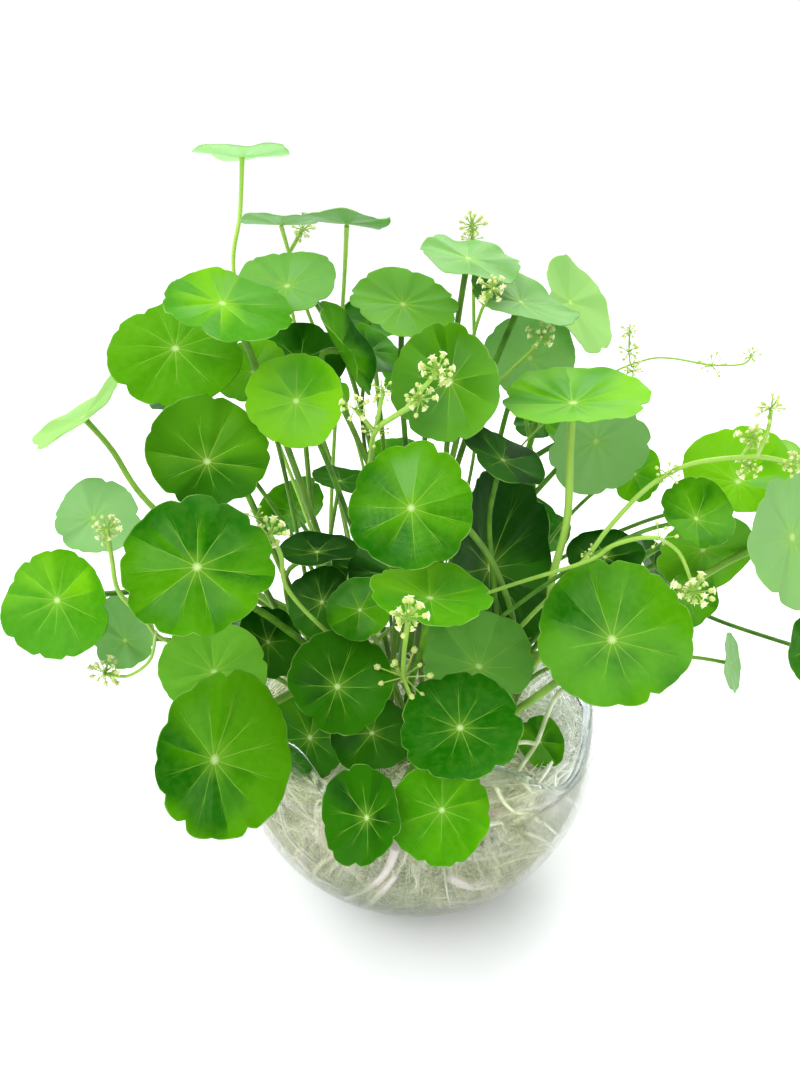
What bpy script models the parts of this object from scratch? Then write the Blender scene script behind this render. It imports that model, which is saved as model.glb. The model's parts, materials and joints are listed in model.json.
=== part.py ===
"""Water pennywort growing in a round glass bowl of water, at its real size.

Metres, +Z up. The origin is the middle of the bowl's foot, on the surface that the bowl stands on, and the
plant's front faces -Y. A leaf that the photograph shows is placed on the line of sight through its hub, so
its row holds where the hub is seen, how far back it stands, and its real radius. The leaves on the far side
are placed by their own coordinates.
"""
import math
import random
from dataclasses import dataclass, field, replace

import bmesh
import bpy
import numpy as np

MM = 0.001
TURN = 2 * math.pi

# Bowl: a blown sphere on a flat foot, with a lip that waves up and down
BOWL_RADIUS = 75 * MM
BOWL_MIDDLE = 72 * MM
GLASS = 3.0 * MM
GLASS_FLOOR = 5.0 * MM
LIP_WAVES = 6
LIP_DIP = 79.5 * MM
LIP_CREST = 99 * MM
LIP_ROUND = 1.3 * MM
FIRST_CREST = math.radians(50)
WAVE_STARTS = math.radians(92)
WALL_RINGS = [math.radians(a) for a in (30, 44, 58, 72, 84, 92)]
TURN_STEPS = 24
TURN_OFFSET = math.radians(5)

# Water and the tangle of roots that stands in it
TOUCH = 0.3 * MM
WATER_LEVEL = 74 * MM
ROOTS_TOP = 79.7 * MM
CROWN_RADIUS = 42 * MM
ROOTS_PROFILE = [(0, 79.7), (44, 79.7), (56, 74.8), (66, 64), (62, 45), (48, 24.5), (28.5, 11), (0, 9)]
ROOTS_LUMP = 0.015

# Leaves: a round scalloped blade on a stalk that meets its middle
HUB_THICKNESS = 0.9 * MM
NOTCH = 0.07
STALK_BASE = 0.3 * MM
STALK_PER_RADIUS = 0.045
RUNNER_RADIUS = 2.0 * MM
FLOWER_STALK = 0.8 * MM
STALK_PIECES = 4
STALK_BOWS = [(0.35, 0), (0.5, 0), (0.4, 0.15), (0.4, -0.15), (0.45, 0.3), (0.45, -0.3), (0.6, 0), (0.3, 0.5),
              (0.3, -0.5), (0.6, 0.5), (0.6, -0.5)]

# Room kept between the plant's pieces
BLADE_ROOM = 1.5 * MM
STALK_ROOM = 0.8 * MM
LIP_ROOM = 3.5 * MM

# The photographer's eye, from which the places in the photograph are read
EYE = np.array([-6.0, -277.0, 280.0]) * MM
EYE_TILT = math.radians(23.8)
EYE_FOCAL = 800.0
PICTURE_MIDDLE = (400.0, 533.5)
SIDEWAYS = np.array([1.0, 0.0, 0.0])
AHEAD = np.array([0.0, math.cos(EYE_TILT), -math.sin(EYE_TILT)])
UPWARD = np.array([0.0, math.sin(EYE_TILT), math.cos(EYE_TILT)])
UP = np.array([0.0, 0.0, 1.0])


def unit(vector):
    return vector / np.linalg.norm(vector)


def seen_at(across, down, y):
    """The point at depth y (mm, negative is nearer the viewer) that shows at this place in the picture."""
    ray = AHEAD + (across - PICTURE_MIDDLE[0]) / EYE_FOCAL * SIDEWAYS
    ray = ray - (down - PICTURE_MIDDLE[1]) / EYE_FOCAL * UPWARD
    return EYE + ray * (y * MM - EYE[1]) / ray[1]


@dataclass
class Leaf:
    """One blade with its stalk. aside says how far off its hub the blade sits, and which way in degrees."""
    name: str
    hub: np.ndarray
    normal: np.ndarray
    radius: float
    lobes: int = 10
    cup: float = 0.12
    wave: float = 0.05
    fold: float = 0.0
    fold_along: float = 0.0
    aside: tuple = (0.0, 0.0)
    tone: str = "mid"
    via: tuple = ()
    route: np.ndarray = field(default=None)

    def __post_init__(self):
        self.frame = np.column_stack(self.axes())
        phases = random.Random(self.name)
        self.phase = [phases.uniform(0, TURN) for _ in range(4)]
        self.waves = phases.choice((3, 4, 5))

    def axes(self):
        """The blade's own axes: x level, y up along the blade, z out of its upper face."""
        level = unit(np.cross(UP, self.normal))
        return level, np.cross(self.normal, level), self.normal

    def rim(self, angle):
        """Distance from the hub to the scalloped edge."""
        uneven = 0.03 * np.cos(2 * angle + self.phase[0]) + 0.02 * np.cos(3 * angle + self.phase[1])
        uneven = uneven + self.aside[0] * np.cos(angle - math.radians(self.aside[1]))
        notch = NOTCH * np.abs(np.cos(self.lobes * angle / 2)) ** 8
        return self.radius * (1 + uneven - notch)

    def lift(self, share, angle):
        """Height of the blade over its hub, at a share of the way from the hub to the edge."""
        rise = self.cup + self.wave * np.cos(self.waves * angle + self.phase[2])
        rise = rise + self.fold * np.sin(angle - math.radians(self.fold_along)) ** 2
        return self.radius * rise * share ** 1.25

    def stalk(self):
        return STALK_BASE + STALK_PER_RADIUS * self.radius

    def surface(self, share, angle):
        """Points of the blade's upper face in the world."""
        share, angle = np.broadcast_arrays(np.asarray(share, float), np.asarray(angle, float))
        reach = share * self.rim(angle)
        local = np.stack([reach * np.cos(angle), reach * np.sin(angle), self.lift(share, angle)], axis=-1)
        return self.hub + local @ self.frame.T

    def samples(self):
        angle = np.linspace(0, TURN, 24, endpoint=False)
        rings = [self.surface(share, angle) for share in (0.3, 0.65, 1.0)]
        return np.vstack(rings + [self.hub[None, :]])

    def hits(self, points, room):
        """Whether any point comes nearer to the blade than the room that it needs."""
        offset = points - self.hub
        offset = offset[np.einsum("ij,ij->i", offset, offset) < (1.3 * self.radius + room) ** 2]
        if not len(offset):
            return False
        local = offset @ self.frame
        reach = np.hypot(local[:, 0], local[:, 1])
        angle = np.arctan2(local[:, 1], local[:, 0])
        share = reach / self.rim(angle)
        over = local[:, 2] - self.lift(np.minimum(share, 1), angle)
        near = (share < 1 + room / self.radius) & (over < room) & (over > -room - HUB_THICKNESS)
        return bool(near.any())

    def moved(self, step):
        """The same leaf, nearer or farther (mm) along the line of sight: the picture stays the same."""
        hub = self.hub + unit(self.hub - EYE) * step * MM
        via = tuple((across, down, y + step) for across, down, y in self.via)
        return replace(self, hub=hub, via=via)


def seen(name, across, down, y, radius, lean, lean_to, **shape):
    """A leaf that the photograph shows, from its hub's place in the picture."""
    hub = seen_at(across, down, y)
    to_eye = unit(EYE - hub)
    right = unit(SIDEWAYS - SIDEWAYS @ to_eye * to_eye)
    up = np.cross(to_eye, right)
    away, turn = math.radians(lean), math.radians(lean_to)
    normal = math.cos(away) * to_eye + math.sin(away) * (math.cos(turn) * right + math.sin(turn) * up)
    return Leaf(name, hub, normal, radius * MM, **shape)


def hidden(name, x, y, z, radius, bearing, rise, **shape):
    """A leaf on the far side: its hub in mm, and the bearing and rise of its upper face in degrees."""
    flat, tilt = math.radians(bearing), math.radians(rise)
    normal = np.array([math.cos(flat) * math.cos(tilt), math.sin(flat) * math.cos(tilt), math.sin(tilt)])
    return Leaf(name, np.array([x, y, z]) * MM, normal, radius * MM, **shape)


# Single leaves, front ones first: seen at (across, down), depth, radius, lean and the way that it leans
SINGLE_LEAVES = [
    seen("leaf_26", 197, 567, -70, 21.0, 12, 100, lobes=11, cup=0.10),
    seen("leaf_29", 214, 760, -80, 24.5, 30, 0, lobes=12, aside=(0.15, 0), cup=0.12),
    seen("leaf_40", 442, 810, -80, 16.2, 12, 270, lobes=10, aside=(0.07, 230), cup=0.08, tone="bright"),
    seen("leaf_41", 367, 818, -78, 15.2, 33, 170, lobes=10, aside=(0.14, 180), tone="dark"),
    seen("leaf_39", 460, 728, -68, 20.0, 34, 100, lobes=11),
    seen("leaf_43", 612, 640, -45, 26.0, 22, 60, lobes=12, aside=(0.08, 90), cup=0.14),
    seen("leaf_37", 337, 687, -60, 17.4, 22, 60, lobes=10, aside=(0.12, 45), tone="dark"),
    seen("leaf_30", 411, 508, -48, 19.6, 15, 100, lobes=11, wave=0.07),
    seen("leaf_38", 479, 667, -47, 20.0, 33, 60, lobes=11, aside=(0.18, 80), tone="grey"),
    seen("leaf_35", 430, 598, -57, 18.6, 58, 85, lobes=10, tone="bright"),
    seen("leaf_27", 214, 672, -54, 18.2, 28, 90, lobes=11),
    seen("leaf_22", 207, 462, -40, 18.6, 20, 60, lobes=10, aside=(0.16, 75), tone="dark"),
    seen("leaf_19", 296, 401, -28, 15.6, 18, 135, lobes=10, tone="bright"),
    seen("leaf_24", 57, 600, -40, 19.0, 34, 180, lobes=11, aside=(0.10, 300), tone="bright"),
    seen("leaf_25", 125, 641, -32, 13.2, 38, 200, lobes=9, aside=(0.24, 100), tone="grey"),
    seen("leaf_23", 93, 518, -15, 14.6, 28, 120, lobes=10, aside=(0.13, 0), tone="grey"),
    seen("leaf_05", 222, 303, -20, 20.2, 61, 82, lobes=11, aside=(0.15, 290), cup=0.06, tone="bright"),
    seen("leaf_06", 175, 348, -16, 21.2, 36, 110, lobes=11, aside=(0.15, 290)),
    seen("leaf_16", 573, 403, -2, 26.0, 67, 90, lobes=11, aside=(0.12, 90), cup=0.10, wave=0.03,
         tone="bright", via=((570, 450, 0), (567, 520, -4), (551, 585, -10), (549, 640, -18))),
    seen("leaf_14", 450, 381, 0, 21.2, 30, 180, lobes=11, aside=(0.07, 230), cup=0.14, tone="dark"),
    seen("leaf_33", 490, 568, -22, 35.0, 54, 5, lobes=12, aside=(0.10, 60), cup=0.24, tone="dark"),
    seen("leaf_17", 596, 441, 22, 19.6, 28, 300, lobes=10, aside=(0.14, 290), tone="grey"),
    seen("leaf_44", 696, 519, -25, 12.8, 34, 40, lobes=9, aside=(0.20, 60), tone="mid"),
    seen("leaf_45", 738, 482, 0, 18.8, 30, 70, lobes=11, aside=(0.24, 100), tone="bright"),
    seen("leaf_46", 703, 550, -8, 17.0, 36, 300, lobes=10, tone="mid"),
    seen("leaf_47", 792, 537, -18, 24.0, 50, 0, lobes=11, aside=(0.08, 290)),
    seen("leaf_49", 731, 663, -5, 12.0, 76, 0, lobes=8, cup=0.05, wave=0.02, tone="grey",
         via=((690, 657, -8),)),
    seen("leaf_08", 403, 304, 25, 19.6, 52, 80, lobes=11, aside=(0.08, 270)),
    seen("leaf_09", 468, 258, 35, 19.6, 71, 77, lobes=10, aside=(0.12, 250), cup=0.06, tone="grey"),
    seen("leaf_10", 521, 302, 30, 20.6, 69, 68, lobes=10, cup=0.06, fold=0.12, tone="grey"),
    seen("leaf_11", 570, 302, 64, 21.0, 62, 32, lobes=9, aside=(0.18, 310), tone="pale",
         via=((557, 340, 64), (548, 378, 62))),
    seen("leaf_12", 340, 350, 8, 18.6, 76, 28, lobes=9, cup=0.10, fold=0.25, fold_along=90),
    seen("leaf_15", 530, 358, 42, 19.0, 30, 45, lobes=10, tone="grey"),
    seen("leaf_04", 287, 286, 10, 16.8, 50, 100, lobes=10, tone="grey"),
    seen("leaf_01", 242, 156, 48, 17.4, 98, 90, lobes=9, cup=0.10, tone="pale",
         via=((240, 215, 48), (234, 275, 48))),
    seen("leaf_02", 281, 223, 30, 14.2, 97, 90, lobes=9, cup=0.10, tone="grey"),
    seen("leaf_03", 347, 222, 30, 15.4, 97, 85, lobes=9, cup=0.08, via=((345, 265, 40), (343, 300, 52))),
    seen("leaf_07", 83, 417, 0, 19.2, 80, 130, lobes=9, cup=0.06, fold=0.15, tone="pale",
         via=((112, 450, -2), (145, 499, -6))),
    seen("leaf_55", 310, 738, -46, 16.8, 30, 200, lobes=10, aside=(0.16, 90), tone="dark"),
]


# Shoots: a short creeping rhizome on the crown, from and to (x, y in mm), and the leaves that it bears
SHOOTS = {
    "shoot_01": ((-36, -16), (-20, -30), [
        seen("left_inner", 268, 642, -27, 14.0, 40, 20, lobes=7, tone="dark"),
        seen("left_shade", 317, 552, -22, 14.0, 65, 90, lobes=7, tone="dark"),
        seen("left_low", 322, 602, -27, 13.4, 36, 150, lobes=7, tone="dark"),
    ]),
    "shoot_02": ((-12, -36), (10, -38), [
        seen("middle_small", 360, 610, -42, 11.6, 30, 120, lobes=7),
        seen("middle_wide", 398, 575, -20, 18.0, 50, 90, lobes=7, tone="dark"),
        seen("middle_low", 372, 733, -46, 14.6, 28, 270, lobes=7, tone="dark"),
    ]),
    "shoot_03": ((22, -30), (37, -14), [
        seen("right_curly", 503, 460, 8, 16.4, 62, 60, lobes=7, tone="dark"),
        seen("right_shade", 605, 557, -8, 14.0, 46, 90, lobes=7, tone="dark"),
        seen("right_low", 540, 742, -32, 10.0, 34, 20, lobes=7, tone="dark"),
    ]),
    "shoot_04": ((40, 0), (38, 18), [
        seen("right_far", 635, 474, 34, 12.0, 36, 0, lobes=7, tone="bright"),
        seen("right_under", 690, 598, -12, 11.2, 40, 330, lobes=7),
        seen("right_edge", 810, 650, -16, 13.6, 50, 0, lobes=7),
        hidden("side_right_low", 96, 54, 78, 15, 30, 16, lobes=8),
    ]),
    "shoot_05": ((-40, 0), (-34, 20), [
        seen("left_dark", 300, 360, 20, 17.6, 45, 90, lobes=7, tone="dark"),
        seen("left_light", 252, 372, 14, 13.0, 40, 120, lobes=7, tone="bright"),
        seen("left_gap", 340, 481, 15, 11.4, 66, 80, lobes=7, tone="dark"),
        hidden("side_left_low", -86, 58, 88, 15, 150, 16, lobes=8),
    ]),
    "shoot_06": ((-16, 26), (8, 26), [
        seen("back_high", 371, 351, 42, 12.4, 52, 60, lobes=7),
        seen("back_right", 537, 424, 78, 11.0, 50, 90, lobes=7, tone="dark"),
        hidden("back_middle", 6, 84, 196, 20, 88, 42, lobes=8),
    ]),
    "shoot_07": ((17, 20), (36, 33), [
        hidden("side_right", 104, 34, 128, 16, 18, 28, lobes=8, tone="bright"),
        seen("far_right", 785, 470, 24, 13.6, 42, 60, lobes=7, tone="pale"),
        hidden("rear_right", 74, 66, 172, 19, 42, 34, lobes=8),
        hidden("rear_right_low", 60, 84, 124, 18, 55, 22, lobes=8),
        hidden("rear_right_top", 50, 92, 212, 14, 66, 48, lobes=8, tone="bright"),
    ]),
    "shoot_08": ((-8, 40), (14, 40), [
        hidden("rear_low", 4, 98, 116, 21, 92, 20, lobes=8),
        hidden("rear_top", -20, 86, 222, 18, 105, 50, lobes=8, tone="bright"),
        hidden("rear_lip", 30, 88, 92, 15, 72, 12, lobes=8, tone="dark"),
        hidden("rear_left_lip", -26, 92, 96, 16, 108, 14, lobes=8),
        hidden("rear_middle", -8, 106, 152, 15, 95, 30, lobes=8),
    ]),
    "shoot_09": ((-36, 32), (-22, 40), [
        hidden("rear_left", -46, 74, 186, 20, 122, 38, lobes=8),
        hidden("rear_left_low", -58, 82, 134, 19, 126, 24, lobes=8, tone="bright"),
        hidden("side_left", -96, 36, 128, 17, 160, 28, lobes=8),
        hidden("side_left_high", -96, 54, 200, 16, 145, 45, lobes=8, tone="pale"),
    ]),
}


@dataclass
class FlowerStalk:
    """A stalk seen through these places (across, down, y), its heads (also a radius) and its forks."""
    name: str
    stem: list
    heads: list
    forks: list = field(default_factory=list)


FLOWER_STALKS = [
    FlowerStalk("flower_stalk_01",
                stem=[(408, 620, -78), (404, 650, -78), (404, 677, -76), (413, 703, -70), (421, 722, -60)],
                heads=[(408, 617, -78, 4.6), (404, 677, -76, 2.6)]),
    FlowerStalk("flower_stalk_02",
                stem=[(419, 402, -42), (395, 416, -40), (375, 432, -36), (370, 462, -30)],
                heads=[(420, 400, -42, 4.4), (437, 371, -42, 4.4), (383, 391, -38, 3.4), (355, 409, -38, 3.2),
                       (375, 432, -36, 2.2)],
                forks=[[(404, 411, -41), (437, 372, -42)], [(375, 432, -36), (383, 392, -38)],
                       [(375, 432, -36), (355, 409, -38)]]),
    FlowerStalk("flower_stalk_03",
                stem=[(794, 464, -33), (757, 457, -32), (700, 462, -30), (668, 474, -29), (639, 495, -29),
                      (607, 530, -30), (590, 553, -31), (562, 585, -30)],
                heads=[(794, 464, -33, 3.8), (752, 438, -28, 4.0), (750, 467, -31, 3.6), (668, 474, -29, 3.0),
                       (771, 408, -36, 3.6)],
                forks=[[(741, 458, -31), (752, 440, -28)],
                       [(757, 457, -32), (768, 430, -35), (771, 410, -36)]]),
    FlowerStalk("flower_stalk_04",
                stem=[(659, 538, -44), (640, 538, -42), (612, 546, -36), (585, 562, -30)],
                heads=[(659, 538, -44, 3.6), (694, 592, -44, 5.0)],
                forks=[[(659, 538, -44), (680, 554, -44), (694, 590, -44)]]),
    FlowerStalk("flower_stalk_05",
                stem=[(751, 356, 36), (743, 364, 35), (712, 365, 33), (669, 358, 33), (642, 361, 34),
                      (602, 380, 35)],
                heads=[(751, 356, 36, 3.0), (712, 366, 33, 3.4), (630, 331, 28, 2.6), (629, 352, 29, 3.2),
                       (633, 371, 27, 3.2)],
                forks=[[(642, 361, 34), (632, 367, 28), (629, 352, 29), (630, 331, 28)]]),
    FlowerStalk("flower_stalk_06",
                stem=[(472, 218, 62), (473, 250, 62), (474, 330, 58), (476, 430, 42)],
                heads=[(472, 226, 62, 5.0), (493, 288, 4, 4.6), (541, 336, 16, 4.2)],
                forks=[[(476, 424, 43), (470, 380, 30), (472, 345, 16), (481, 312, 8), (492, 291, 4)],
                       [(475, 400, 47), (500, 380, 22), (530, 352, 16), (540, 339, 16)]]),
    FlowerStalk("flower_stalk_07",
                stem=[(303, 228, 24), (296, 241, 24), (287, 262, 24), (290, 300, 24)],
                heads=[(303, 230, 24, 4.0)]),
    FlowerStalk("flower_stalk_08",
                stem=[(107, 528, -56), (112, 560, -56), (119, 592, -54), (145, 620, -50), (165, 640, -46)],
                heads=[(107, 530, -56, 4.0), (105, 673, -48, 4.8)],
                forks=[[(156, 631, -48), (150, 660, -48), (128, 676, -48), (107, 674, -48)]]),
    FlowerStalk("flower_stalk_09",
                stem=[(270, 534, -52), (281, 556, -50), (288, 590, -46)],
                heads=[(270, 535, -52, 5.0)]),
]


def bowl_point(angle, radius):
    """Distance from the axis and height, at an angle up the sphere from its lowest point."""
    return radius * math.sin(angle), BOWL_MIDDLE - radius * math.cos(angle)


def up_the_sphere(height, radius=BOWL_RADIUS):
    return math.acos((BOWL_MIDDLE - height) / radius)


def lip_angle(bearing):
    """How far up the sphere the lip stands at this bearing."""
    dip, crest = up_the_sphere(LIP_DIP), up_the_sphere(LIP_CREST)
    return (dip + crest) / 2 + (crest - dip) / 2 * np.cos(LIP_WAVES * (bearing - FIRST_CREST))


def hits_bowl(points):
    """True where a point is in the glass wall, or so near over the lip that a leaf would touch it."""
    out = np.hypot(points[:, 0], points[:, 1])
    lip = BOWL_MIDDLE - BOWL_RADIUS * np.cos(lip_angle(np.arctan2(points[:, 1], points[:, 0])))
    from_middle = np.hypot(out, points[:, 2] - BOWL_MIDDLE)
    in_wall = (from_middle > BOWL_RADIUS - GLASS - LIP_ROOM) & (from_middle < BOWL_RADIUS + LIP_ROOM)
    under_roots = (points[:, 2] < ROOTS_TOP + 1.5 * MM) & (out > CROWN_RADIUS) & (from_middle < BOWL_RADIUS)
    return (in_wall & (points[:, 2] < lip + LIP_ROOM)) | under_roots


def along(route, spacing=2 * MM):
    """Points evenly spaced along a route of straight pieces."""
    pieces = []
    for start, end in zip(route[:-1], route[1:]):
        count = max(2, int(np.linalg.norm(end - start) / spacing) + 1)
        pieces.append(start + (end - start) * np.linspace(0, 1, count)[:, None])
    return np.vstack(pieces)


def bezier(p0, p1, p2, p3, pieces):
    t = np.linspace(0, 1, pieces + 1)[:, None]
    return (1 - t) ** 3 * p0 + 3 * (1 - t) ** 2 * t * p1 + 3 * (1 - t) * t ** 2 * p2 + t ** 3 * p3


class Thicket:
    """What has grown so far, and whether there is room for one more blade or stalk."""

    def __init__(self):
        self.blades = []
        self.stalks = []

    def blade_fits(self, leaf):
        own = leaf.samples()
        if hits_bowl(own).any():
            return False
        for other in self.blades:
            if np.linalg.norm(other.hub - leaf.hub) > 1.3 * (other.radius + leaf.radius):
                continue
            if other.hits(own, BLADE_ROOM) or leaf.hits(other.samples(), BLADE_ROOM):
                return False
        for points, radius in self.stalks:
            if leaf.hits(points, radius + STALK_ROOM):
                return False
        return True

    def stalk_fits(self, points, radius, own_blade=None):
        if hits_bowl(points).any():
            return False
        for blade in self.blades:
            if blade is not own_blade and blade.hits(points, radius + STALK_ROOM):
                return False
        if own_blade is not None:
            away = points[np.linalg.norm(points - own_blade.hub, axis=1) > 5 * MM]
            if own_blade.hits(away, radius + STALK_ROOM):
                return False
        low, high = points.min(axis=0), points.max(axis=0)
        for others, other_radius in self.stalks:
            room = radius + other_radius + STALK_ROOM
            close = others[((others > low - room) & (others < high + room)).all(axis=1)]
            if len(close) and np.linalg.norm(points[:, None, :] - close[None, :, :], axis=2).min() < room:
                return False
        return True

    def settle(self, leaf):
        """Put a blade in its place, or as little nearer or farther in the same line of sight as it needs."""
        for step in sorted(np.arange(-40, 41, 2), key=abs):
            there = leaf.moved(step)
            if self.blade_fits(there):
                self.blades.append(there)
                return there
        raise ValueError(f"no room for the blade of {leaf.name}")


def crown_places():
    """Places on the crown where a stalk may rise, spread as a sunflower's seeds are."""
    golden = math.pi * (3 - math.sqrt(5))
    count = 150
    spread = [CROWN_RADIUS * 0.96 * math.sqrt((i + 0.5) / count) for i in range(count)]
    turns = [i * golden for i in range(count)]
    return [reach * np.array([math.cos(turn), math.sin(turn), 0]) for turn, reach in zip(turns, spread)]


def stalk_routes(leaf, places, pieces):
    """Ways for a stalk to rise from a place on the crown and meet the blade, the plainest first."""
    under = leaf.hub - leaf.normal * HUB_THICKNESS
    seen_part = [seen_at(*place) for place in reversed(leaf.via)] + [under]
    goal = seen_part[0]
    flat = goal * [1, 1, 0]
    outward = unit(flat + 1e-9)
    sideways = np.cross(UP, outward)
    wanted = flat * min(0.45, 34 * MM / max(np.linalg.norm(flat), 1e-6))
    nearest = sorted(places, key=lambda p: np.linalg.norm(p[:2] - wanted[:2]))[:60]
    for droop in (0.0, 0.5, 1.0, 1.8):
        end_way = unit(goal - seen_part[1]) if leaf.via else unit(-leaf.normal + droop * UP)
        for rise, bow in STALK_BOWS:
            for place in nearest:
                reach = np.linalg.norm(goal - place)
                start = place + (UP + 0.1 * outward) * reach * rise + sideways * reach * bow
                arrive = goal + end_way * min(0.3 * reach, 30 * MM)
                yield np.vstack([bezier(place, start, arrive, goal, pieces)[:-1], seen_part])


def grow_stalk(thicket, leaf, places, pieces):
    for route in stalk_routes(leaf, places, pieces):
        points = along(route)
        if thicket.stalk_fits(points, leaf.stalk(), leaf):
            thicket.stalks.append((points, leaf.stalk()))
            leaf.route = route
            return
    raise ValueError(f"no way up for the stalk of {leaf.name}")


def runner_line(shoot):
    start, end, _ = SHOOTS[shoot]
    height = ROOTS_TOP + TOUCH + RUNNER_RADIUS
    return np.array([[*start, 0], [*end, 0]]) * MM + height * UP


def grow_plant():
    """Place every blade, stalk and flower stalk so that none touches another."""
    thicket = Thicket()
    runners = {shoot: (along(runner_line(shoot)), RUNNER_RADIUS) for shoot in SHOOTS}
    thicket.stalks.extend(runners.values())
    singles = [thicket.settle(leaf) for leaf in SINGLE_LEAVES]
    shoots = {shoot: [thicket.settle(leaf) for leaf in SHOOTS[shoot][2]] for shoot in SHOOTS}
    flowers = {stalk.name: settle_flowers(thicket, stalk) for stalk in FLOWER_STALKS}
    tallest_first = sorted(singles, key=lambda leaf: -leaf.hub[2])
    places = [place + (ROOTS_TOP + TOUCH) * UP for place in crown_places()]
    for leaf in tallest_first:
        if leaf.via:
            grow_stalk(thicket, leaf, places, 3)
    for shoot, leaves in shoots.items():
        own = runners[shoot]
        thicket.stalks = [stalk for stalk in thicket.stalks if stalk is not own]
        line = runner_line(shoot)
        along_it = [line[0] + (line[1] - line[0]) * share for share in np.linspace(0.02, 0.98, 13)]
        for leaf in leaves:
            grow_stalk(thicket, leaf, along_it, STALK_PIECES)
        thicket.stalks.append(own)
    for leaf in tallest_first:
        if not leaf.via:
            grow_stalk(thicket, leaf, places, STALK_PIECES)
    return singles, shoots, flowers


def stalk_parts(stalk, step):
    """The stem, forks and heads of a flower stalk, moved a step in depth along their lines of sight."""
    stem = np.array([seen_at(across, down, y + step) for across, down, y in stalk.stem])
    forks = [np.array([seen_at(across, down, y + step) for across, down, y in fork]) for fork in stalk.forks]
    heads = [(seen_at(across, down, y + step), radius * MM) for across, down, y, radius in stalk.heads]
    return stem, forks, heads


def head_fits(thicket, centre, radius):
    point = centre[None, :]
    if hits_bowl(point).any():
        return False
    if any(blade.hits(point, radius + STALK_ROOM) for blade in thicket.blades):
        return False
    return all(np.linalg.norm(points - centre, axis=1).min() > radius + other + STALK_ROOM
               for points, other in thicket.stalks)


def settle_flowers(thicket, stalk):
    """Find the depth and the way down to the crown where a flower stalk touches nothing."""
    ground = (ROOTS_TOP + TOUCH) * UP
    for step in sorted(range(-30, 31, 2), key=abs):
        stem, forks, heads = stalk_parts(stalk, step)
        tubes = [along(piece) for piece in [stem] + forks]
        if not all(thicket.stalk_fits(points, FLOWER_STALK) for points in tubes):
            continue
        if not all(head_fits(thicket, centre, radius) for centre, radius in heads):
            continue
        last, wanted = stem[-1], stem[-1] * [0.4, 0.4, 0]
        onward = unit(stem[-1] - stem[-2])
        for pull in (0.2, 0.4):
            for place in sorted(crown_places(), key=lambda p: np.linalg.norm(p - wanted)):
                foot = place + ground
                fall = np.linalg.norm(last - foot)
                way = bezier(last, last + onward * fall * pull, foot + UP * fall * 0.4, foot + 2 * MM * UP, 3)
                way = np.vstack([way, foot])
                points = along(way)
                if thicket.stalk_fits(points, FLOWER_STALK):
                    everything = np.vstack(tubes + [points])
                    thicket.stalks.append((everything, FLOWER_STALK))
                    for centre, radius in heads:
                        thicket.stalks.append((centre[None, :], radius))
                    return np.vstack([stem, way[1:]]), forks, heads
    raise ValueError(f"no room for {stalk.name}")


# Building the solids
def clear_scene():
    for item in list(bpy.data.objects):
        bpy.data.objects.remove(item, do_unlink=True)


def collection(name):
    made = bpy.data.collections.new(name)
    bpy.context.scene.collection.children.link(made)
    return made


def finish(name, colour, roughness, transmission=0.0, ior=1.45):
    """A Principled material of one colour for one piece."""
    material = bpy.data.materials.new(f"{name} surface")
    material.use_nodes = True
    shader = material.node_tree.nodes["Principled BSDF"]
    shader.inputs["Base Color"].default_value = (*colour, 1)
    shader.inputs["Roughness"].default_value = roughness
    shader.inputs["Metallic"].default_value = 0.0
    shader.inputs["Transmission Weight"].default_value = transmission
    shader.inputs["IOR"].default_value = ior
    material.diffuse_color = (*colour, 1)
    return material


LEAF_COLOURS = {
    "mid": (0.055, 0.27, 0.012),
    "dark": (0.016, 0.12, 0.010),
    "bright": (0.12, 0.42, 0.015),
    "grey": (0.10, 0.30, 0.09),
    "pale": (0.26, 0.50, 0.10),
}
STALK_COLOUR = (0.20, 0.42, 0.05)
FLOWER_COLOUR = (0.62, 0.68, 0.30)
ROOT_COLOUR = (0.55, 0.47, 0.32)
WATER_COLOUR = (0.86, 0.88, 0.84)
GLASS_COLOUR = (0.95, 0.97, 0.97)


def put(name, mesh, group, material, place=(0, 0, 0)):
    item = bpy.data.objects.new(name, mesh)
    item.location = place
    mesh.materials.clear()
    mesh.materials.append(material)
    group.objects.link(item)
    return item


def add_boolean(item, cutter, operation):
    step = item.modifiers.new(cutter.name, "BOOLEAN")
    step.object = cutter
    step.operation = operation
    step.solver = "EXACT"
    cutter.hide_render = True
    cutter.display_type = "WIRE"


def frozen(item):
    """The object's mesh with its modifiers applied, in place of the object."""
    bpy.context.view_layer.update()
    evaluated = item.evaluated_get(bpy.context.evaluated_depsgraph_get())
    mesh = bpy.data.meshes.new_from_object(evaluated)
    mesh.transform(item.matrix_world)
    bpy.data.objects.remove(item, do_unlink=True)
    work = bmesh.new()
    work.from_mesh(mesh)
    bmesh.ops.remove_doubles(work, verts=work.verts, dist=0.01 * MM)
    work.to_mesh(mesh)
    work.free()
    return mesh


def turned(profile, group):
    """A closed body turned about the upright axis, from a profile (radius, height) that runs down outside."""
    mesh = bpy.data.meshes.new("profile")
    points = [(r * math.cos(TURN_OFFSET), r * math.sin(TURN_OFFSET), z) for r, z in profile]
    mesh.from_pydata(points, [(i, i + 1) for i in range(len(points) - 1)], [])
    item = bpy.data.objects.new("profile", mesh)
    group.objects.link(item)
    screw = item.modifiers.new("turn", "SCREW")
    screw.angle = TURN
    screw.steps = screw.render_steps = TURN_STEPS
    screw.use_merge_vertices = True
    screw.merge_threshold = 0.01 * MM
    return frozen(item)


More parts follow.
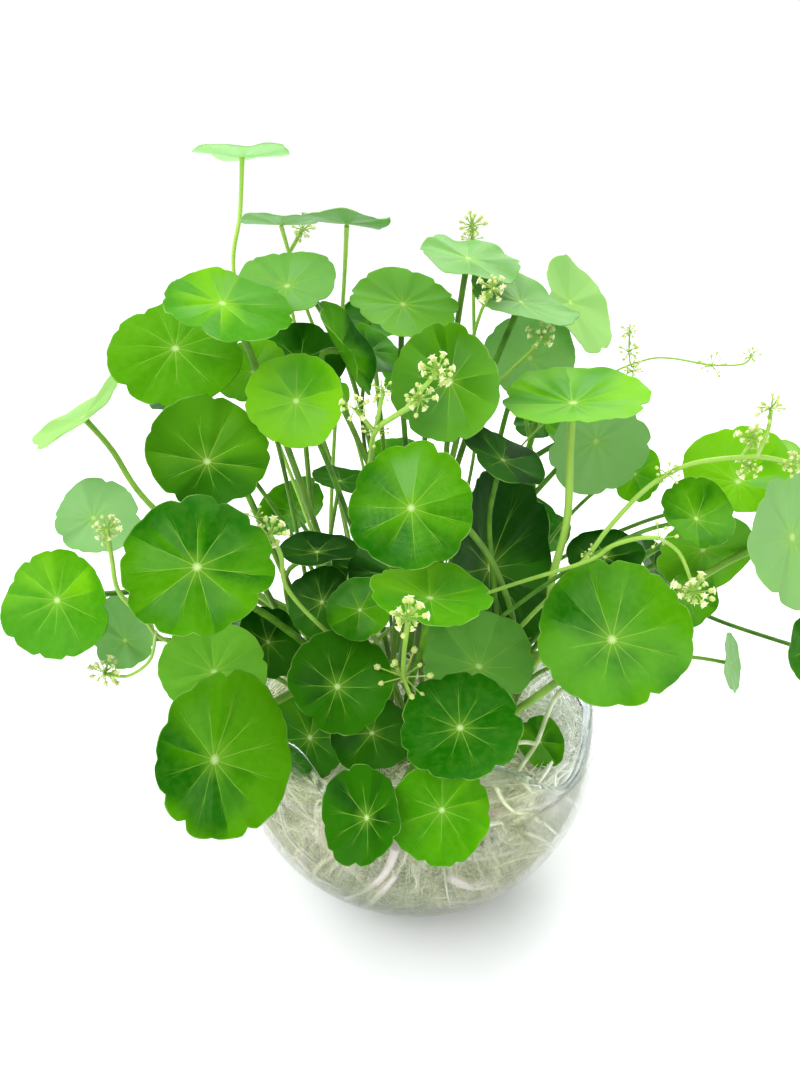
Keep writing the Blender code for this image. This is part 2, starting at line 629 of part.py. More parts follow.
def wave_lip(mesh, lip):
    """Move the wall above the water up and down along its own sphere, so that the lip runs in waves."""
    for vertex in mesh.vertices:
        x, y, z = vertex.co
        out, rise = math.hypot(x, y), z - BOWL_MIDDLE
        angle = math.atan2(out, -rise)
        if angle <= WAVE_STARTS + 0.001 or out < BOWL_RADIUS / 2:
            continue
        bearing, radius = math.atan2(y, x), math.hypot(out, rise)
        share = (angle - WAVE_STARTS) / (lip - WAVE_STARTS)
        angle = WAVE_STARTS + share * (lip_angle(bearing) - WAVE_STARTS)
        r, z = bowl_point(angle, radius)
        vertex.co = (r * math.cos(bearing), r * math.sin(bearing), z)


def smooth(mesh, sharp_degrees=40):
    mesh.shade_smooth()
    mesh.set_sharp_from_angle(angle=math.radians(sharp_degrees))


def make_bowl(parts, cutters):
    lip = (up_the_sphere(LIP_DIP) + up_the_sphere(LIP_CREST)) / 2
    inner_radius, top = BOWL_RADIUS - GLASS, lip + LIP_ROUND / BOWL_RADIUS
    inner_foot = up_the_sphere(GLASS_FLOOR, inner_radius)
    walls = WALL_RINGS + [lip]
    profile = [(0, GLASS_FLOOR), bowl_point(inner_foot, inner_radius)]
    profile += [bowl_point(angle, inner_radius) for angle in walls]
    profile += [bowl_point(top, BOWL_RADIUS - GLASS / 2)]
    profile += [bowl_point(angle, BOWL_RADIUS) for angle in reversed(walls)]
    profile += [bowl_point(up_the_sphere(0), BOWL_RADIUS), (0, 0)]
    mesh = turned(profile, cutters)
    wave_lip(mesh, lip)
    smooth(mesh)
    return put("bowl", mesh, parts, finish("bowl", GLASS_COLOUR, 0.0, 1.0, 1.5))


def lump_roots(mesh):
    """Give the tangle of roots its lumps, everywhere but on the crown and the underside."""
    for vertex in mesh.vertices:
        x, y, z = vertex.co
        out = math.hypot(x, y)
        if out < 10 * MM or z > ROOTS_TOP - MM:
            continue
        bearing = math.atan2(y, x)
        lump = math.cos(5 * bearing + 60 * z) * math.cos(3 * bearing - 110 * z + 1)
        vertex.co = (x * (1 + ROOTS_LUMP * lump), y * (1 + ROOTS_LUMP * lump), z)


def make_roots(parts, cutters):
    mesh = turned([(r * MM, z * MM) for r, z in ROOTS_PROFILE], cutters)
    lump_roots(mesh)
    smooth(mesh)
    return put("root_mass", mesh, parts, finish("root_mass", ROOT_COLOUR, 0.8))


def make_water(parts, cutters, roots):
    """The water stands against the glass and round the roots."""
    radius = BOWL_RADIUS - GLASS - TOUCH
    floor = GLASS_FLOOR + TOUCH
    walls = [angle for angle in WALL_RINGS[::2] if angle < up_the_sphere(WATER_LEVEL)]
    profile = [(0, WATER_LEVEL), bowl_point(up_the_sphere(WATER_LEVEL, radius), radius)]
    profile += [bowl_point(angle, radius) for angle in reversed(walls)]
    profile += [bowl_point(up_the_sphere(floor, radius), radius), (0, floor)]
    mesh = turned(profile, cutters)
    water = put("water", mesh, parts, finish("water", WATER_COLOUR, 0.0, 1.0, 1.33))
    pocket_mesh = roots.data.copy()
    for vertex in pocket_mesh.vertices:
        vertex.co += vertex.normal * 1.4 * TOUCH
    pocket = put("root_pocket", pocket_mesh, cutters, finish("root_pocket", WATER_COLOUR, 0.0))
    add_boolean(water, pocket, "DIFFERENCE")
    return water


def ring(work, centre, level, across, radius, sides):
    turns = [TURN * i / sides for i in range(sides)]
    outward = [math.cos(turn) * level + math.sin(turn) * across for turn in turns]
    return [work.verts.new(centre + radius * way) for way in outward]


def loft(work, few, many):
    """Faces between a ring of few points and a ring of many, which start on the same side."""
    share = len(few) / len(many)
    for j in range(len(many)):
        near, far = few[int(j * share)], few[int((j + 1) * share) % len(few)]
        after = many[(j + 1) % len(many)]
        work.faces.new((near, many[j], after))
        if far is not near:
            work.faces.new((near, after, far))


def leaf_mesh(leaf, sides, foot):
    """Blade and stalk in one: the upper face, the underside that meets it in a thin edge, and the stalk."""
    work = bmesh.new()
    count = 2 * leaf.lobes
    angles = np.arange(count) * TURN / count
    edge = [work.verts.new(point - foot) for point in leaf.surface(1.0, angles)]
    hub = work.verts.new(leaf.hub - foot)
    for j in range(count):
        work.faces.new((edge[j], edge[(j + 1) % count], hub))
    route = leaf.route[::-1]
    level, above = leaf.frame[:, 0], None
    for i, place in enumerate(route):
        onward = unit(route[max(i - 1, 0)] - route[min(i + 1, len(route) - 1)])
        if i == 0:
            onward = leaf.normal
        elif i == len(route) - 1:
            onward = UP
        level = unit(level - (level @ onward) * onward)
        wide = leaf.stalk() * (1.25 if i == 0 else 1)
        below = ring(work, place - foot, level, np.cross(onward, level), wide, sides)
        if above is None:
            loft(work, below, edge)
        else:
            for j in range(sides):
                after = (j + 1) % sides
                work.faces.new((below[j], below[after], above[after], above[j]))
        above = below
    work.faces.new(above[::-1])
    bmesh.ops.triangulate(work, faces=work.faces)
    bmesh.ops.recalc_face_normals(work, faces=work.faces)
    mesh = bpy.data.meshes.new(leaf.name)
    work.to_mesh(mesh)
    work.free()
    smooth(mesh)
    return mesh


def put_leaf(leaf, group, sides):
    foot, surface = leaf.route[0], finish(leaf.name, LEAF_COLOURS[leaf.tone], 0.35)
    return put(leaf.name, leaf_mesh(leaf, sides, foot), group, surface, foot)


def tube(name, points, radius, group, colour, sides_detail=0):
    """A round stalk along straight pieces, as a closed mesh with its origin at its first point."""
    curve = bpy.data.curves.new(name, "CURVE")
    curve.dimensions = "3D"
    curve.bevel_depth = radius
    curve.bevel_resolution = sides_detail
    curve.use_fill_caps = True
    line = curve.splines.new("POLY")
    line.points.add(len(points) - 1)
    for point, place in zip(line.points, points):
        point.co = (*(place - points[0]), 1)
    item = bpy.data.objects.new(name, curve)
    group.objects.link(item)
    return put(name, frozen(item), group, finish(name, colour, 0.5), points[0])


def make_shoot(name, leaves, parts, cutters):
    """A creeping rhizome with the leaves that rise from it, grown as one piece."""
    shoot = tube(name, runner_line(name), RUNNER_RADIUS, parts, STALK_COLOUR, 1)
    for leaf in leaves:
        add_boolean(shoot, put_leaf(leaf, cutters, 3), "UNION")
    return shoot


def make_flowers(name, shape, parts, cutters):
    """A flower stalk with its forks and its heads, grown as one piece."""
    stem, forks, heads = shape
    stalk = tube(name, stem, FLOWER_STALK, parts, FLOWER_COLOUR)
    for number, fork in enumerate(forks, 1):
        branch = tube(f"{name}_fork_{number}", fork, FLOWER_STALK * 0.85, cutters, FLOWER_COLOUR)
        add_boolean(stalk, branch, "UNION")
    for number, (centre, radius) in enumerate(heads, 1):
        work = bmesh.new()
        bmesh.ops.create_icosphere(work, subdivisions=1, radius=radius)
        mesh = bpy.data.meshes.new(f"{name}_head_{number}")
        work.to_mesh(mesh)
        work.free()
        head = put(mesh.name, mesh, cutters, finish(mesh.name, FLOWER_COLOUR, 0.6), centre)
        add_boolean(stalk, head, "UNION")
    return stalk


def main():
    clear_scene()
    parts, cutters = collection("water pennywort in bowl"), collection("cutters")
    make_bowl(parts, cutters)
    roots = make_roots(parts, cutters)
    make_water(parts, cutters, roots)
    singles, shoots, flowers = grow_plant()
    for leaf in singles:
        put_leaf(leaf, parts, 4)
    for name, leaves in shoots.items():
        make_shoot(name, leaves, parts, cutters)
    for name, shape in flowers.items():
        make_flowers(name, shape, parts, cutters)


if __name__ == "__main__":
    main()
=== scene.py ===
# %% [markdown]
# # Water pennywort in a round glass bowl
#
# Pennywort is a bog plant. Its round leaves stand like little umbrellas, each on a stalk that meets the
# middle of its blade, and its pale roots fill the water of the bowl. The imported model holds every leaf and
# stalk as a plain solid in its right place. This lesson keeps those places and gives each piece its real
# surface.

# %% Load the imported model
import json
import math

import bmesh
import bpy
import numpy as np
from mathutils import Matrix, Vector

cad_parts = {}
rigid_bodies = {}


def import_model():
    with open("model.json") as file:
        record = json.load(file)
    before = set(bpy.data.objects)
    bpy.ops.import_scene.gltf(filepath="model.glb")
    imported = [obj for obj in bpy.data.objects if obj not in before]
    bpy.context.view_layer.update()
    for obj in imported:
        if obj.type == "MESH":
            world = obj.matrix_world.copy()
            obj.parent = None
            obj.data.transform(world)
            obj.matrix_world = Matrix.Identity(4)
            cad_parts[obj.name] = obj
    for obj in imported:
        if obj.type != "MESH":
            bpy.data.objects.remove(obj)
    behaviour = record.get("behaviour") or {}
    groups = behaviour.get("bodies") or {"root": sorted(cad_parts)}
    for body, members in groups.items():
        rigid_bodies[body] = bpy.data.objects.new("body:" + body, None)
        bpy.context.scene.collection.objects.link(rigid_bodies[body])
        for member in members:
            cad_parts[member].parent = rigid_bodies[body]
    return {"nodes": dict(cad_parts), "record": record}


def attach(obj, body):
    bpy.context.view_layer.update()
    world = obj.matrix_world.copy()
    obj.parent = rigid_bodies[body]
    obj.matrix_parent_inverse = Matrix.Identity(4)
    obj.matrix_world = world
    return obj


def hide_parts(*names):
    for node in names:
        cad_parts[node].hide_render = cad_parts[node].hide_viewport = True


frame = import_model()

MM = 0.001
TURN = 2 * math.pi
UP = np.array([0.0, 0.0, 1.0])
WHITE = (1.0, 1.0, 1.0)
WELD = 0.02 * MM
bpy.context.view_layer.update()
nodes = frame["nodes"]
slot_of = {part["node"]: part["material_slot"] for part in frame["record"]["subparts"]}

# %% [markdown]
# ## Camera
#
# The photograph was taken from a little above the leaves, close to the plant. The same eye is used to turn a
# place in the picture into a place in the room.

# %% The camera
# Places in the picture, and the focal length, are counted in its pixels.
PICTURE_WIDE, PICTURE_HIGH = 800, 1067
PICTURE_MIDDLE = (PICTURE_WIDE / 2, PICTURE_HIGH / 2)
EYE = np.array([-6.0, -277.0, 280.0]) * MM
EYE_TILT = math.radians(23.8)
EYE_FOCAL = 800.0
SENSOR = 36.0
NEAREST_SEEN = 0.01
SIDEWAYS = np.array([1.0, 0.0, 0.0])
AHEAD = np.array([0.0, math.cos(EYE_TILT), -math.sin(EYE_TILT)])
UPWARD = np.array([0.0, math.sin(EYE_TILT), math.cos(EYE_TILT)])


def add_camera():
    lens = bpy.data.cameras.new("photo view")
    lens.sensor_width = SENSOR
    lens.lens = EYE_FOCAL / PICTURE_HIGH * SENSOR
    lens.clip_start = NEAREST_SEEN
    camera = bpy.data.objects.new("photo view", lens)
    camera.location = EYE
    camera.rotation_euler = (math.pi / 2 - EYE_TILT, 0, 0)
    bpy.context.scene.collection.objects.link(camera)
    bpy.context.scene.camera = camera


def seen_at(across, down, y):
    """The point at depth y (mm) that shows at this place in the picture."""
    ray = AHEAD + (across - PICTURE_MIDDLE[0]) / EYE_FOCAL * SIDEWAYS
    ray = ray - (down - PICTURE_MIDDLE[1]) / EYE_FOCAL * UPWARD
    return EYE + ray * (y * MM - EYE[1]) / ray[1]


def picture_place(point):
    """Where a point of the room shows in the picture."""
    away = point - EYE
    depth = away @ AHEAD
    across = PICTURE_MIDDLE[0] + EYE_FOCAL * (away @ SIDEWAYS) / depth
    down = PICTURE_MIDDLE[1] - EYE_FOCAL * (away @ UPWARD) / depth
    return across, down


add_camera()
foot_place = [round(float(place)) for place in picture_place(0 * EYE)]
print("the eye stands at", EYE.round(3).tolist(), "m, and sees the middle of the foot at", foot_place)

# %% [markdown]
# ## Wiring node trees in Python
#
# Materials and Geometry Nodes are both made of sockets joined by wires. A small class holds one socket and
# lets Python's own signs stand for Math nodes, so that a pattern reads like the sum it is. One method adds
# any other node.

# %% The Wires class
class Wires:
    """A node tree being wired, for a material, the world or geometry."""

    def __init__(self, tree):
        self.tree = tree

    def node(self, kind, settings=None, sockets=None, out=None):
        """Add a node: its settings first, then the values or wires of its sockets."""
        made = self.tree.nodes.new(kind)
        for name, value in (settings or {}).items():
            setattr(made, name, value)
        for name, value in (sockets or {}).items():
            self.feed(pick(made.inputs, name), value)
        return Wire(self, pick(made.outputs, out))

    def feed(self, socket, value):
        if isinstance(value, Wire):
            self.tree.links.new(value.socket, socket)
        elif socket.type == "RGBA" and len(value) == 3:
            socket.default_value = (*value, 1)
        else:
            socket.default_value = value

    def mix(self, share, first, second):
        """One colour for a share of 0, the other for 1. A Mix node's colours are its sockets 6 and 7."""
        return self.node("ShaderNodeMix", {"data_type": "RGBA"}, {0: share, 6: first, 7: second}, out=2)

    def noise(self, place, scale, detail=2.0, turn=0.0, twist=0.0, out=None):
        """Soft noise from 0 to 1, of so many waves per metre. Another turn gives another pattern."""
        sockets = {"Vector": place, "W": turn, "Scale": scale, "Detail": detail, "Distortion": twist}
        return self.node("ShaderNodeTexNoise", {"noise_dimensions": "4D"}, sockets, out)

    def apart(self, vector):
        """The X of a vector, with Y and Z as the node's other outputs."""
        return self.node("ShaderNodeSeparateXYZ", sockets={"Vector": vector})


def pick(sockets, name):
    """A node's socket by number, or the first one of that name, or of any name, that is in use."""
    if isinstance(name, int):
        return sockets[name]
    return next(s for s in sockets if s.enabled and name in (None, s.name))


# %% The Wire class
class Wire:
    """One socket that takes part in sums."""

    def __init__(self, wires, socket):
        self.wires = wires
        self.socket = socket

    def sum(self, operation, *values):
        return self.wires.node("ShaderNodeMath", {"operation": operation}, dict(enumerate(values)))

    def __add__(self, other):
        return self.sum("ADD", self, other)

    def __sub__(self, other):
        return self.sum("SUBTRACT", self, other)

    def __mul__(self, other):
        return self.sum("MULTIPLY", self, other)

    def __truediv__(self, other):
        return self.sum("DIVIDE", self, other)

    def __pow__(self, other):
        return self.sum("POWER", self, other)

    def __rsub__(self, other):
        return self.sum("SUBTRACT", other, self)

    def __rtruediv__(self, other):
        return self.sum("DIVIDE", other, self)

    __radd__ = __add__
    __rmul__ = __mul__

    def call(self, operation, *others):
        """A Math node's function of this value, such as FRACT or COSINE."""
        return self.sum(operation, self, *others)

    def vector(self, operation, *others, slot=1, out=None):
        """A Vector Math node of this vector; slot says where the other values go."""
        sockets = {0: self, **{slot + i: other for i, other in enumerate(others)}}
        return self.wires.node("ShaderNodeVectorMath", {"operation": operation}, sockets, out)

    def scaled(self, share):
        """This vector times a number, which is socket 3 of a Vector Math node."""
        return self.vector("SCALE", share, slot=3)

    def between(self, low, high):
        """0 below low, 1 above high, and smooth in between."""
        sockets = {"Value": self, "From Min": low, "From Max": high}
        return self.wires.node("ShaderNodeMapRange", {"interpolation_type": "SMOOTHSTEP"}, sockets)

    def other(self, name):
        """Another output of the same node."""
        return Wire(self.wires, pick(self.socket.node.outputs, name))


# %% Starting and finishing a material
class Finish(Wires):
    """A material with one Principled shader."""

    def __init__(self, name, **plain):
        self.material = bpy.data.materials.new(name)
        self.material.use_nodes = True
        super().__init__(self.material.node_tree)
        self.shader = self.tree.nodes["Principled BSDF"]
        self.set(**plain)

    def set(self, **values):
        """Give sockets of the shader a plain value or a wire."""
        for socket, value in values.items():
            self.feed(self.shader.inputs[socket.replace("_", " ")], value)

    def bump(self, height, strength, distance):
        sockets = {"Height": height, "Strength": strength, "Distance": distance}
        self.set(Normal=self.node("ShaderNodeBump", sockets=sockets))

    def attribute(self, name):
        """The number that each point of the mesh holds under this name."""
        return self.node("ShaderNodeAttribute", {"attribute_name": name}, out="Fac")

    def place(self):
        return self.node("ShaderNodeTexCoord").other("Object")

    def lit_through(self, share, colour):
        """Mix in some light that comes through from behind."""
        through = self.node("ShaderNodeBsdfTranslucent", sockets={"Color": colour})
        face = Wire(self, self.shader.outputs[0])
        both = self.node("ShaderNodeMixShader", sockets={0: share, 1: face, 2: through})
        self.feed(self.tree.nodes["Material Output"].inputs["Surface"], both)


# %% [markdown]
# ## Floor and light
#
# The plant stands on white paper in a white room. Light from one side gives the blades their form, so the
# room is brighter above and behind than in front. Only rays that light the plant see that: the camera, and
# what it sees through the glass, gets plain white.

# %% The room
# How bright the room is low down and overhead, and between which heights of the gaze it changes
SKY_LOW, SKY_HIGH = 0.50, 1.25
SKY_RISES = (-0.3, 0.9)
# The way to a bright window, how soft its edge is, and what it adds
WINDOW_WAY = (-0.45, 0.55, 0.70)
WINDOW_EDGE = (0.75, 1.0)
WINDOW_LIGHT = 1.1
BACKGROUND = 1.05
FLOOR_HALF = 3.0
PAPER = (0.97, 0.985, 1.0)
# Place in m, width in m and power in W
LAMPS = {"window": ((-0.9, -0.7, 1.3), 1.0, 13.0), "back": ((0.5, 0.9, 1.1), 0.8, 12.0)}
LAMPS_AIM = (0, 0, 0.15)


def light_from_the_room():
    world = bpy.data.worlds.new("white studio")
    world.use_nodes = True
    bpy.context.scene.world = world
    wires = Wires(world.node_tree)
    way = wires.node("ShaderNodeTexCoord", out="Generated")
    sky = wires.apart(way).other("Z").between(*SKY_RISES) * (SKY_HIGH - SKY_LOW) + SKY_LOW
    window = way.vector("DOT_PRODUCT", WINDOW_WAY, out="Value").between(*WINDOW_EDGE) * WINDOW_LIGHT
    path = wires.node("ShaderNodeLightPath", out="Is Camera Ray")
    plain = path.call("MAXIMUM", path.other("Is Transmission Ray"))
    background = world.node_tree.nodes["Background"]
    wires.feed(background.inputs["Strength"], (sky + window) * (1 - plain) + plain * BACKGROUND)
    wires.feed(background.inputs["Color"], WHITE)


def add_floor():
    mesh = bpy.data.meshes.new("floor")
    corners = [(x * FLOOR_HALF, y * FLOOR_HALF, 0) for x, y in ((-1, -1), (1, -1), (1, 1), (-1, 1))]
    mesh.from_pydata(corners, [], [(0, 1, 2, 3)])
    floor = bpy.data.objects.new("floor", mesh)
    bpy.context.scene.collection.objects.link(floor)
    mesh.materials.append(Finish("white paper", Base_Color=PAPER, Roughness=0.9).material)


def add_lamp(name, place, size, power):
    light = bpy.data.lights.new(name, "AREA")
    light.shape = "DISK"
    light.size = size
    light.energy = power
    lamp = bpy.data.objects.new(name, light)
    lamp.location = place
    to_plant = Vector(LAMPS_AIM) - lamp.location
    lamp.rotation_euler = to_plant.to_track_quat("-Z", "Y").to_euler()
    bpy.context.scene.collection.objects.link(lamp)


light_from_the_room()
add_floor()
for name, (place, size, power) in LAMPS.items():
    add_lamp(name, place, size, power)
bpy.context.scene.view_settings.view_transform = "Standard"
print("lamps:", ", ".join(f"{name} {power} W" for name, (_, _, power) in LAMPS.items()))

# %% [markdown]
# ## Growing shapes with Geometry Nodes
#
# What repeats, or follows a path or a rule, is grown by a Geometry Nodes tree. A small starting mesh goes
# in, such as the line of a stalk, and the finished shape comes out. It is made a plain mesh at once and the
# modifier goes, so that every piece ends as plain faces.

# %% Wiring shapes
class Growth(Wires):
    """A Geometry Nodes tree being wired."""

    def xyz(self, x, y, z):
        return self.node("ShaderNodeCombineXYZ", sockets={"X": x, "Y": y, "Z": z})

    def join(self, *shapes):
        """One geometry of several."""
        joined = self.node("GeometryNodeJoinGeometry")
        for shape in reversed(shapes):
            self.feed(joined.socket.node.inputs[0], shape)
        return joined

    def chance(self, least, most, seed, own=None):
        """A random number for each element, or for each value of own."""
        sockets = {"Min": least, "Max": most, "Seed": seed}
        if own is not None:
            sockets["ID"] = own
        return self.node("FunctionNodeRandomValue", {"data_type": "FLOAT"}, sockets)

    def any_turn(self, seed):
        """A random turn about all three axes."""
        turn = self.xyz(*(self.chance(0.0, TURN, seed + axis) for axis in range(3)))
        return self.node("FunctionNodeEulerToRotation", sockets={"Euler": turn})

    def read(self, name):
        """The number that each point holds under this name."""
        return self.node("GeometryNodeInputNamedAttribute", sockets={"Name": name})

    def store(self, shape, name, value):
        sockets = {"Geometry": shape, "Name": name, "Value": value}
        return self.node("GeometryNodeStoreNamedAttribute", {"domain": "POINT"}, sockets)

    def moved(self, shape, **to):
        """A shape with its points at a Position, or pushed by an Offset."""
        return self.node("GeometryNodeSetPosition", sockets={"Geometry": shape, **to})

    def copies(self, points, shape, **more):
        """One copy of a shape on each point, still an instance."""
        sockets = {"Points": points, "Instance": shape, **more}
        return self.node("GeometryNodeInstanceOnPoints", sockets=sockets)

    def real(self, shape):
        """A shape whose instances are made real faces or lines."""
        return self.node("GeometryNodeRealizeInstances", sockets={"Geometry": shape})

    def smooth(self, shape):
        return self.node("GeometryNodeSetShadeSmooth", sockets={"Geometry": shape})

    def tube(self, line, sides, thick):
        """A round tube along a line, closed at both ends."""
        section = self.node("GeometryNodeCurvePrimitiveCircle", sockets={"Resolution": sides, "Radius": 1.0})
        sockets = {"Curve": line, "Profile Curve": section, "Scale": thick, "Fill Caps": True}
        return self.smooth(self.node("GeometryNodeCurveToMesh", sockets=sockets))


# %% Starting a tree and growing it
def recipe(name, inputs, wire_up):
    """A Geometry Nodes tree with named inputs. wire_up(wires, given) returns the geometry it makes."""
    tree = bpy.data.node_groups.new(name, "GeometryNodeTree")
    tree.interface.new_socket("Geometry", in_out="INPUT", socket_type="NodeSocketGeometry")
    tree.interface.new_socket("Material", in_out="INPUT", socket_type="NodeSocketMaterial")
    for label, start in inputs.items():
        kind = "NodeSocketInt" if isinstance(start, int) else "NodeSocketFloat"
        tree.interface.new_socket(label, in_out="INPUT", socket_type=kind).default_value = start
    tree.interface.new_socket("Geometry", in_out="OUTPUT", socket_type="NodeSocketGeometry")
    wires = Growth(tree)
    source = wires.node("NodeGroupInput")
    sockets = {"Geometry": wires.real(wire_up(wires, source.other)), "Material": source.other("Material")}
    shape = wires.node("GeometryNodeSetMaterial", sockets=sockets)
    wires.feed(tree.nodes.new("NodeGroupOutput").inputs[0], shape)
    print(f"the tree '{name}' has {len(tree.nodes)} nodes, and inputs for {', '.join(inputs)}")
    return tree


def grow(tree, start, **values):
    """Run a tree on a starting mesh, with values for its inputs, and return a plain mesh."""
    seedling = bpy.data.objects.new(tree.name, start)
    bpy.context.scene.collection.objects.link(seedling)
    step = seedling.modifiers.new(tree.name, "NODES")
    step.node_group = tree
    for item in tree.interface.items_tree:
        label = item.name.replace(" ", "_")
        if item.in_out == "INPUT" and label in values:
            step[item.identifier] = values[label]
    ready = seedling.evaluated_get(bpy.context.evaluated_depsgraph_get())
    mesh = bpy.data.meshes.new_from_object(ready)
    bpy.data.objects.remove(seedling, do_unlink=True)
    mesh.materials.clear()
    mesh.materials.append(values["Material"])
    mesh.polygons.foreach_set("material_index", [0] * len(mesh.polygons))
    return mesh


# %% Starting lines and finished pieces
def write_numbers(mesh, label, values):
    """Give each point of a mesh its own number under a name."""
    mesh.attributes.new(label, "FLOAT", "POINT").data.foreach_set("value", values)


def polyline(name, lines, **numbers):
    """A mesh of open lines, with one number for each point, or one for all, under each name given."""
    mesh = bpy.data.meshes.new(name)
    edges, first = [], 0
    for line in lines:
        edges += [(first + i, first + i + 1) for i in range(len(line) - 1)]
        first += len(line)
    mesh.from_pydata(np.vstack(lines).tolist(), edges, [])
    for label, values in numbers.items():
        write_numbers(mesh, label, np.full(first, values) if np.isscalar(values) else np.concatenate(values))
    return mesh


def put_on_plant(name, meshes, slot, *replaced):
    """Join meshes into one finished piece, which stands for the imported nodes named."""
    items = []
    for mesh in meshes:
        items.append(bpy.data.objects.new(name, mesh))
        bpy.context.scene.collection.objects.link(items[-1])
    if len(items) > 1:
        with bpy.context.temp_override(active_object=items[0], selected_editable_objects=items):
            bpy.ops.object.join()
    piece = items[0]
    piece.name = name
    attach(piece, "root")
    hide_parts(*replaced)


# %% [markdown]
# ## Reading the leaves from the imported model
#
# Each packed leaf is a fan of flat triangles round the hub, and a stalk of square or three-sided rings.
# Walking from the hub to the edge and then down the rings gives everything that the real leaf needs: where
# its hub is, its lobes and notches, how it dishes, and the line that its stalk follows. Nothing is typed in
# twice, so the leaves stay where the solids are.

# %% Walking over a packed leaf
# A hub is a point where an even number of faces meet, at least this many. One thick corner of shoot_08's
# runner meets this too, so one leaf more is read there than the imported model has.
FAN_LEAST = 14


def welded(node):
    """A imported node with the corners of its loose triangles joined."""
    work = bmesh.new()
    work.from_mesh(nodes[node].data)
    bmesh.ops.remove_doubles(work, verts=work.verts, dist=WELD)
    work.verts.ensure_lookup_table()
    return work


def next_points(level, passed):
    """The points that an edge joins to those of a level, apart from those already passed."""
    return {other for vertex in level for link in vertex.link_edges for other in link.verts} - passed


def fan_edge(hub):
    """The points round a hub in order, starting at a notch, or None if the faces don't close."""
    after = {}
    for face in hub.link_faces:
        corners = list(face.verts)
        i = corners.index(hub)
        after[corners[(i + 1) % 3]] = corners[(i + 2) % 3]
    ring = [next(iter(after))]
    while after.get(ring[-1]) not in (None, ring[0]) and len(ring) <= len(after):
        ring.append(after[ring[-1]])
    if len(ring) != len(after):
        return None
    reach = [(vertex.co - hub.co).length for vertex in ring]
    even_longer = sum(reach[0::2]) > sum(reach[1::2])
    return ring[1:] + ring[:1] if even_longer else ring


def stalk_rings(hub, edge):
    """The rings of points down a stalk, and the points that follow where they no longer match."""
    passed, level = {hub, *edge}, list(edge)
    rings = []
    while True:
        below = next_points(level, passed)
        if not below or (rings and len(below) != len(rings[0])):
            return rings, below
        rings.append([np.array(vertex.co) for vertex in below])
        passed |= below
        level = list(below)


# %% The Leaf class
RUNNER_HEIGHT = 82 * MM
# A stalk's line keeps clear of the hub and ends just under the blade, lower where it arrives at a slant
STALK_CLEAR = 5 * MM
STALK_END = 0.45 * MM
STALK_SLANT = 1.2


class Leaf:
    """One leaf of a node: its hub, axes and edge, and the line and thickness of its stalk."""

    def __init__(self, node, hub, edge):
        self.node = node
        self.hub = np.array(hub.co)
        self.place = picture_place(self.hub)
        self.lobes = len(edge) // 2
        self.read_edge(np.array([vertex.co for vertex in edge]) - self.hub)
        self.read_stalk(*stalk_rings(hub, edge))

    def read_edge(self, corners):
        """The blade's three axes, and the reach, angle and height of each point of its edge."""
        around = np.cross(corners, np.roll(corners, -1, axis=0)).sum(axis=0)
        self.normal = around / np.linalg.norm(around)
        level = np.cross(UP, self.normal)
        self.level = level / np.linalg.norm(level)
        self.along = np.cross(self.normal, self.level)
        self.reach = np.hypot(corners @ self.level, corners @ self.along)
        self.angle = np.unwrap(np.arctan2(corners @ self.along, corners @ self.level))
        self.height = corners @ self.normal
        self.radius = self.reach[1::2].mean()

    def read_stalk(self, rings, rest):
        """The stalk's thickness, and its line from the foot, or from the runner that carries it."""
        second = rings[min(1, len(rings) - 1)]
        self.stalk = float(np.linalg.norm(second - np.mean(second, axis=0), axis=1).mean())
        middles = [np.mean(ring, axis=0) for ring in rings]
        middles = [middle for middle in middles if np.linalg.norm(middle - self.hub) > STALK_CLEAR]
        if rest:
            low = np.mean([np.array(vertex.co) for vertex in rest], axis=0)
            middles.append(np.array([low[0], low[1], RUNNER_HEIGHT]))
        arrives = (self.hub - middles[0]) / np.linalg.norm(self.hub - middles[0])
        lean = np.linalg.norm(np.cross(arrives, self.normal))
        droop = max(0.0, -(self.height / self.reach).min())
        below = STALK_END + self.stalk * (lean + droop) * STALK_SLANT
        self.line = np.array(middles[::-1] + [self.hub - below * self.normal])


def read_leaves(node):
    work = welded(node)
    leaves = []
    for vertex in work.verts:
        if len(vertex.link_faces) >= FAN_LEAST and len(vertex.link_faces) % 2 == 0:
            edge = fan_edge(vertex)
            if edge:
                leaves.append(Leaf(node, vertex, edge))
    work.free()
    return sorted(leaves, key=lambda leaf: -leaf.hub[2])


leaves_of = {node: read_leaves(node) for node in sorted(nodes) if node.startswith(("leaf_", "shoot_"))}
print("leaves read:", sum(len(found) for found in leaves_of.values()), "on", len(leaves_of), "nodes")

# %% [markdown]
# ## The blades
#
# A pennywort blade is a thin disc with ten or so rounded lobes and a small nick between each pair. A packed
# blade only has two points a lobe, so a smooth closed curve is drawn through them, the nicks are cut into
# it, and rings of points are laid from the hub to this edge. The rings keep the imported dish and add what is
# too fine for the solid: a soft ripple, a sunken vein in each lobe and a slight frill.

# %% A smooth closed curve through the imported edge
POINTS_PER_LOBE = 10
PACKED_NOTCH = 0.07
NOTCH_DEPTH = 0.055
NOTCH_CHANCE = (0.2, 1.6)
NOTCH_SHARP = 14
LOBE_CHANCE = 0.035
DISH_POWER = 1.25
# How many ripples run round the blade, and how strong each is
RIPPLES = ((2, 1.0), (3, 1.0), (5, 0.6))
RIPPLE = 0.018
VEIN_SINK = 0.006
FRILL = 0.014
FRILL_POWER = 8


def round_spline(values, at):
    """A smooth closed curve through evenly spaced values, read at places counted in values."""
    count = len(values)
    first = np.floor(at).astype(int)
    f = at - first
    a, b, c, d = (values[(first + k) % count] for k in (-1, 0, 1, 2))
    return b + 0.5 * f * (c - a + f * (2 * a - 5 * b + 4 * c - d + f * (3 * b - a - 3 * c + d)))


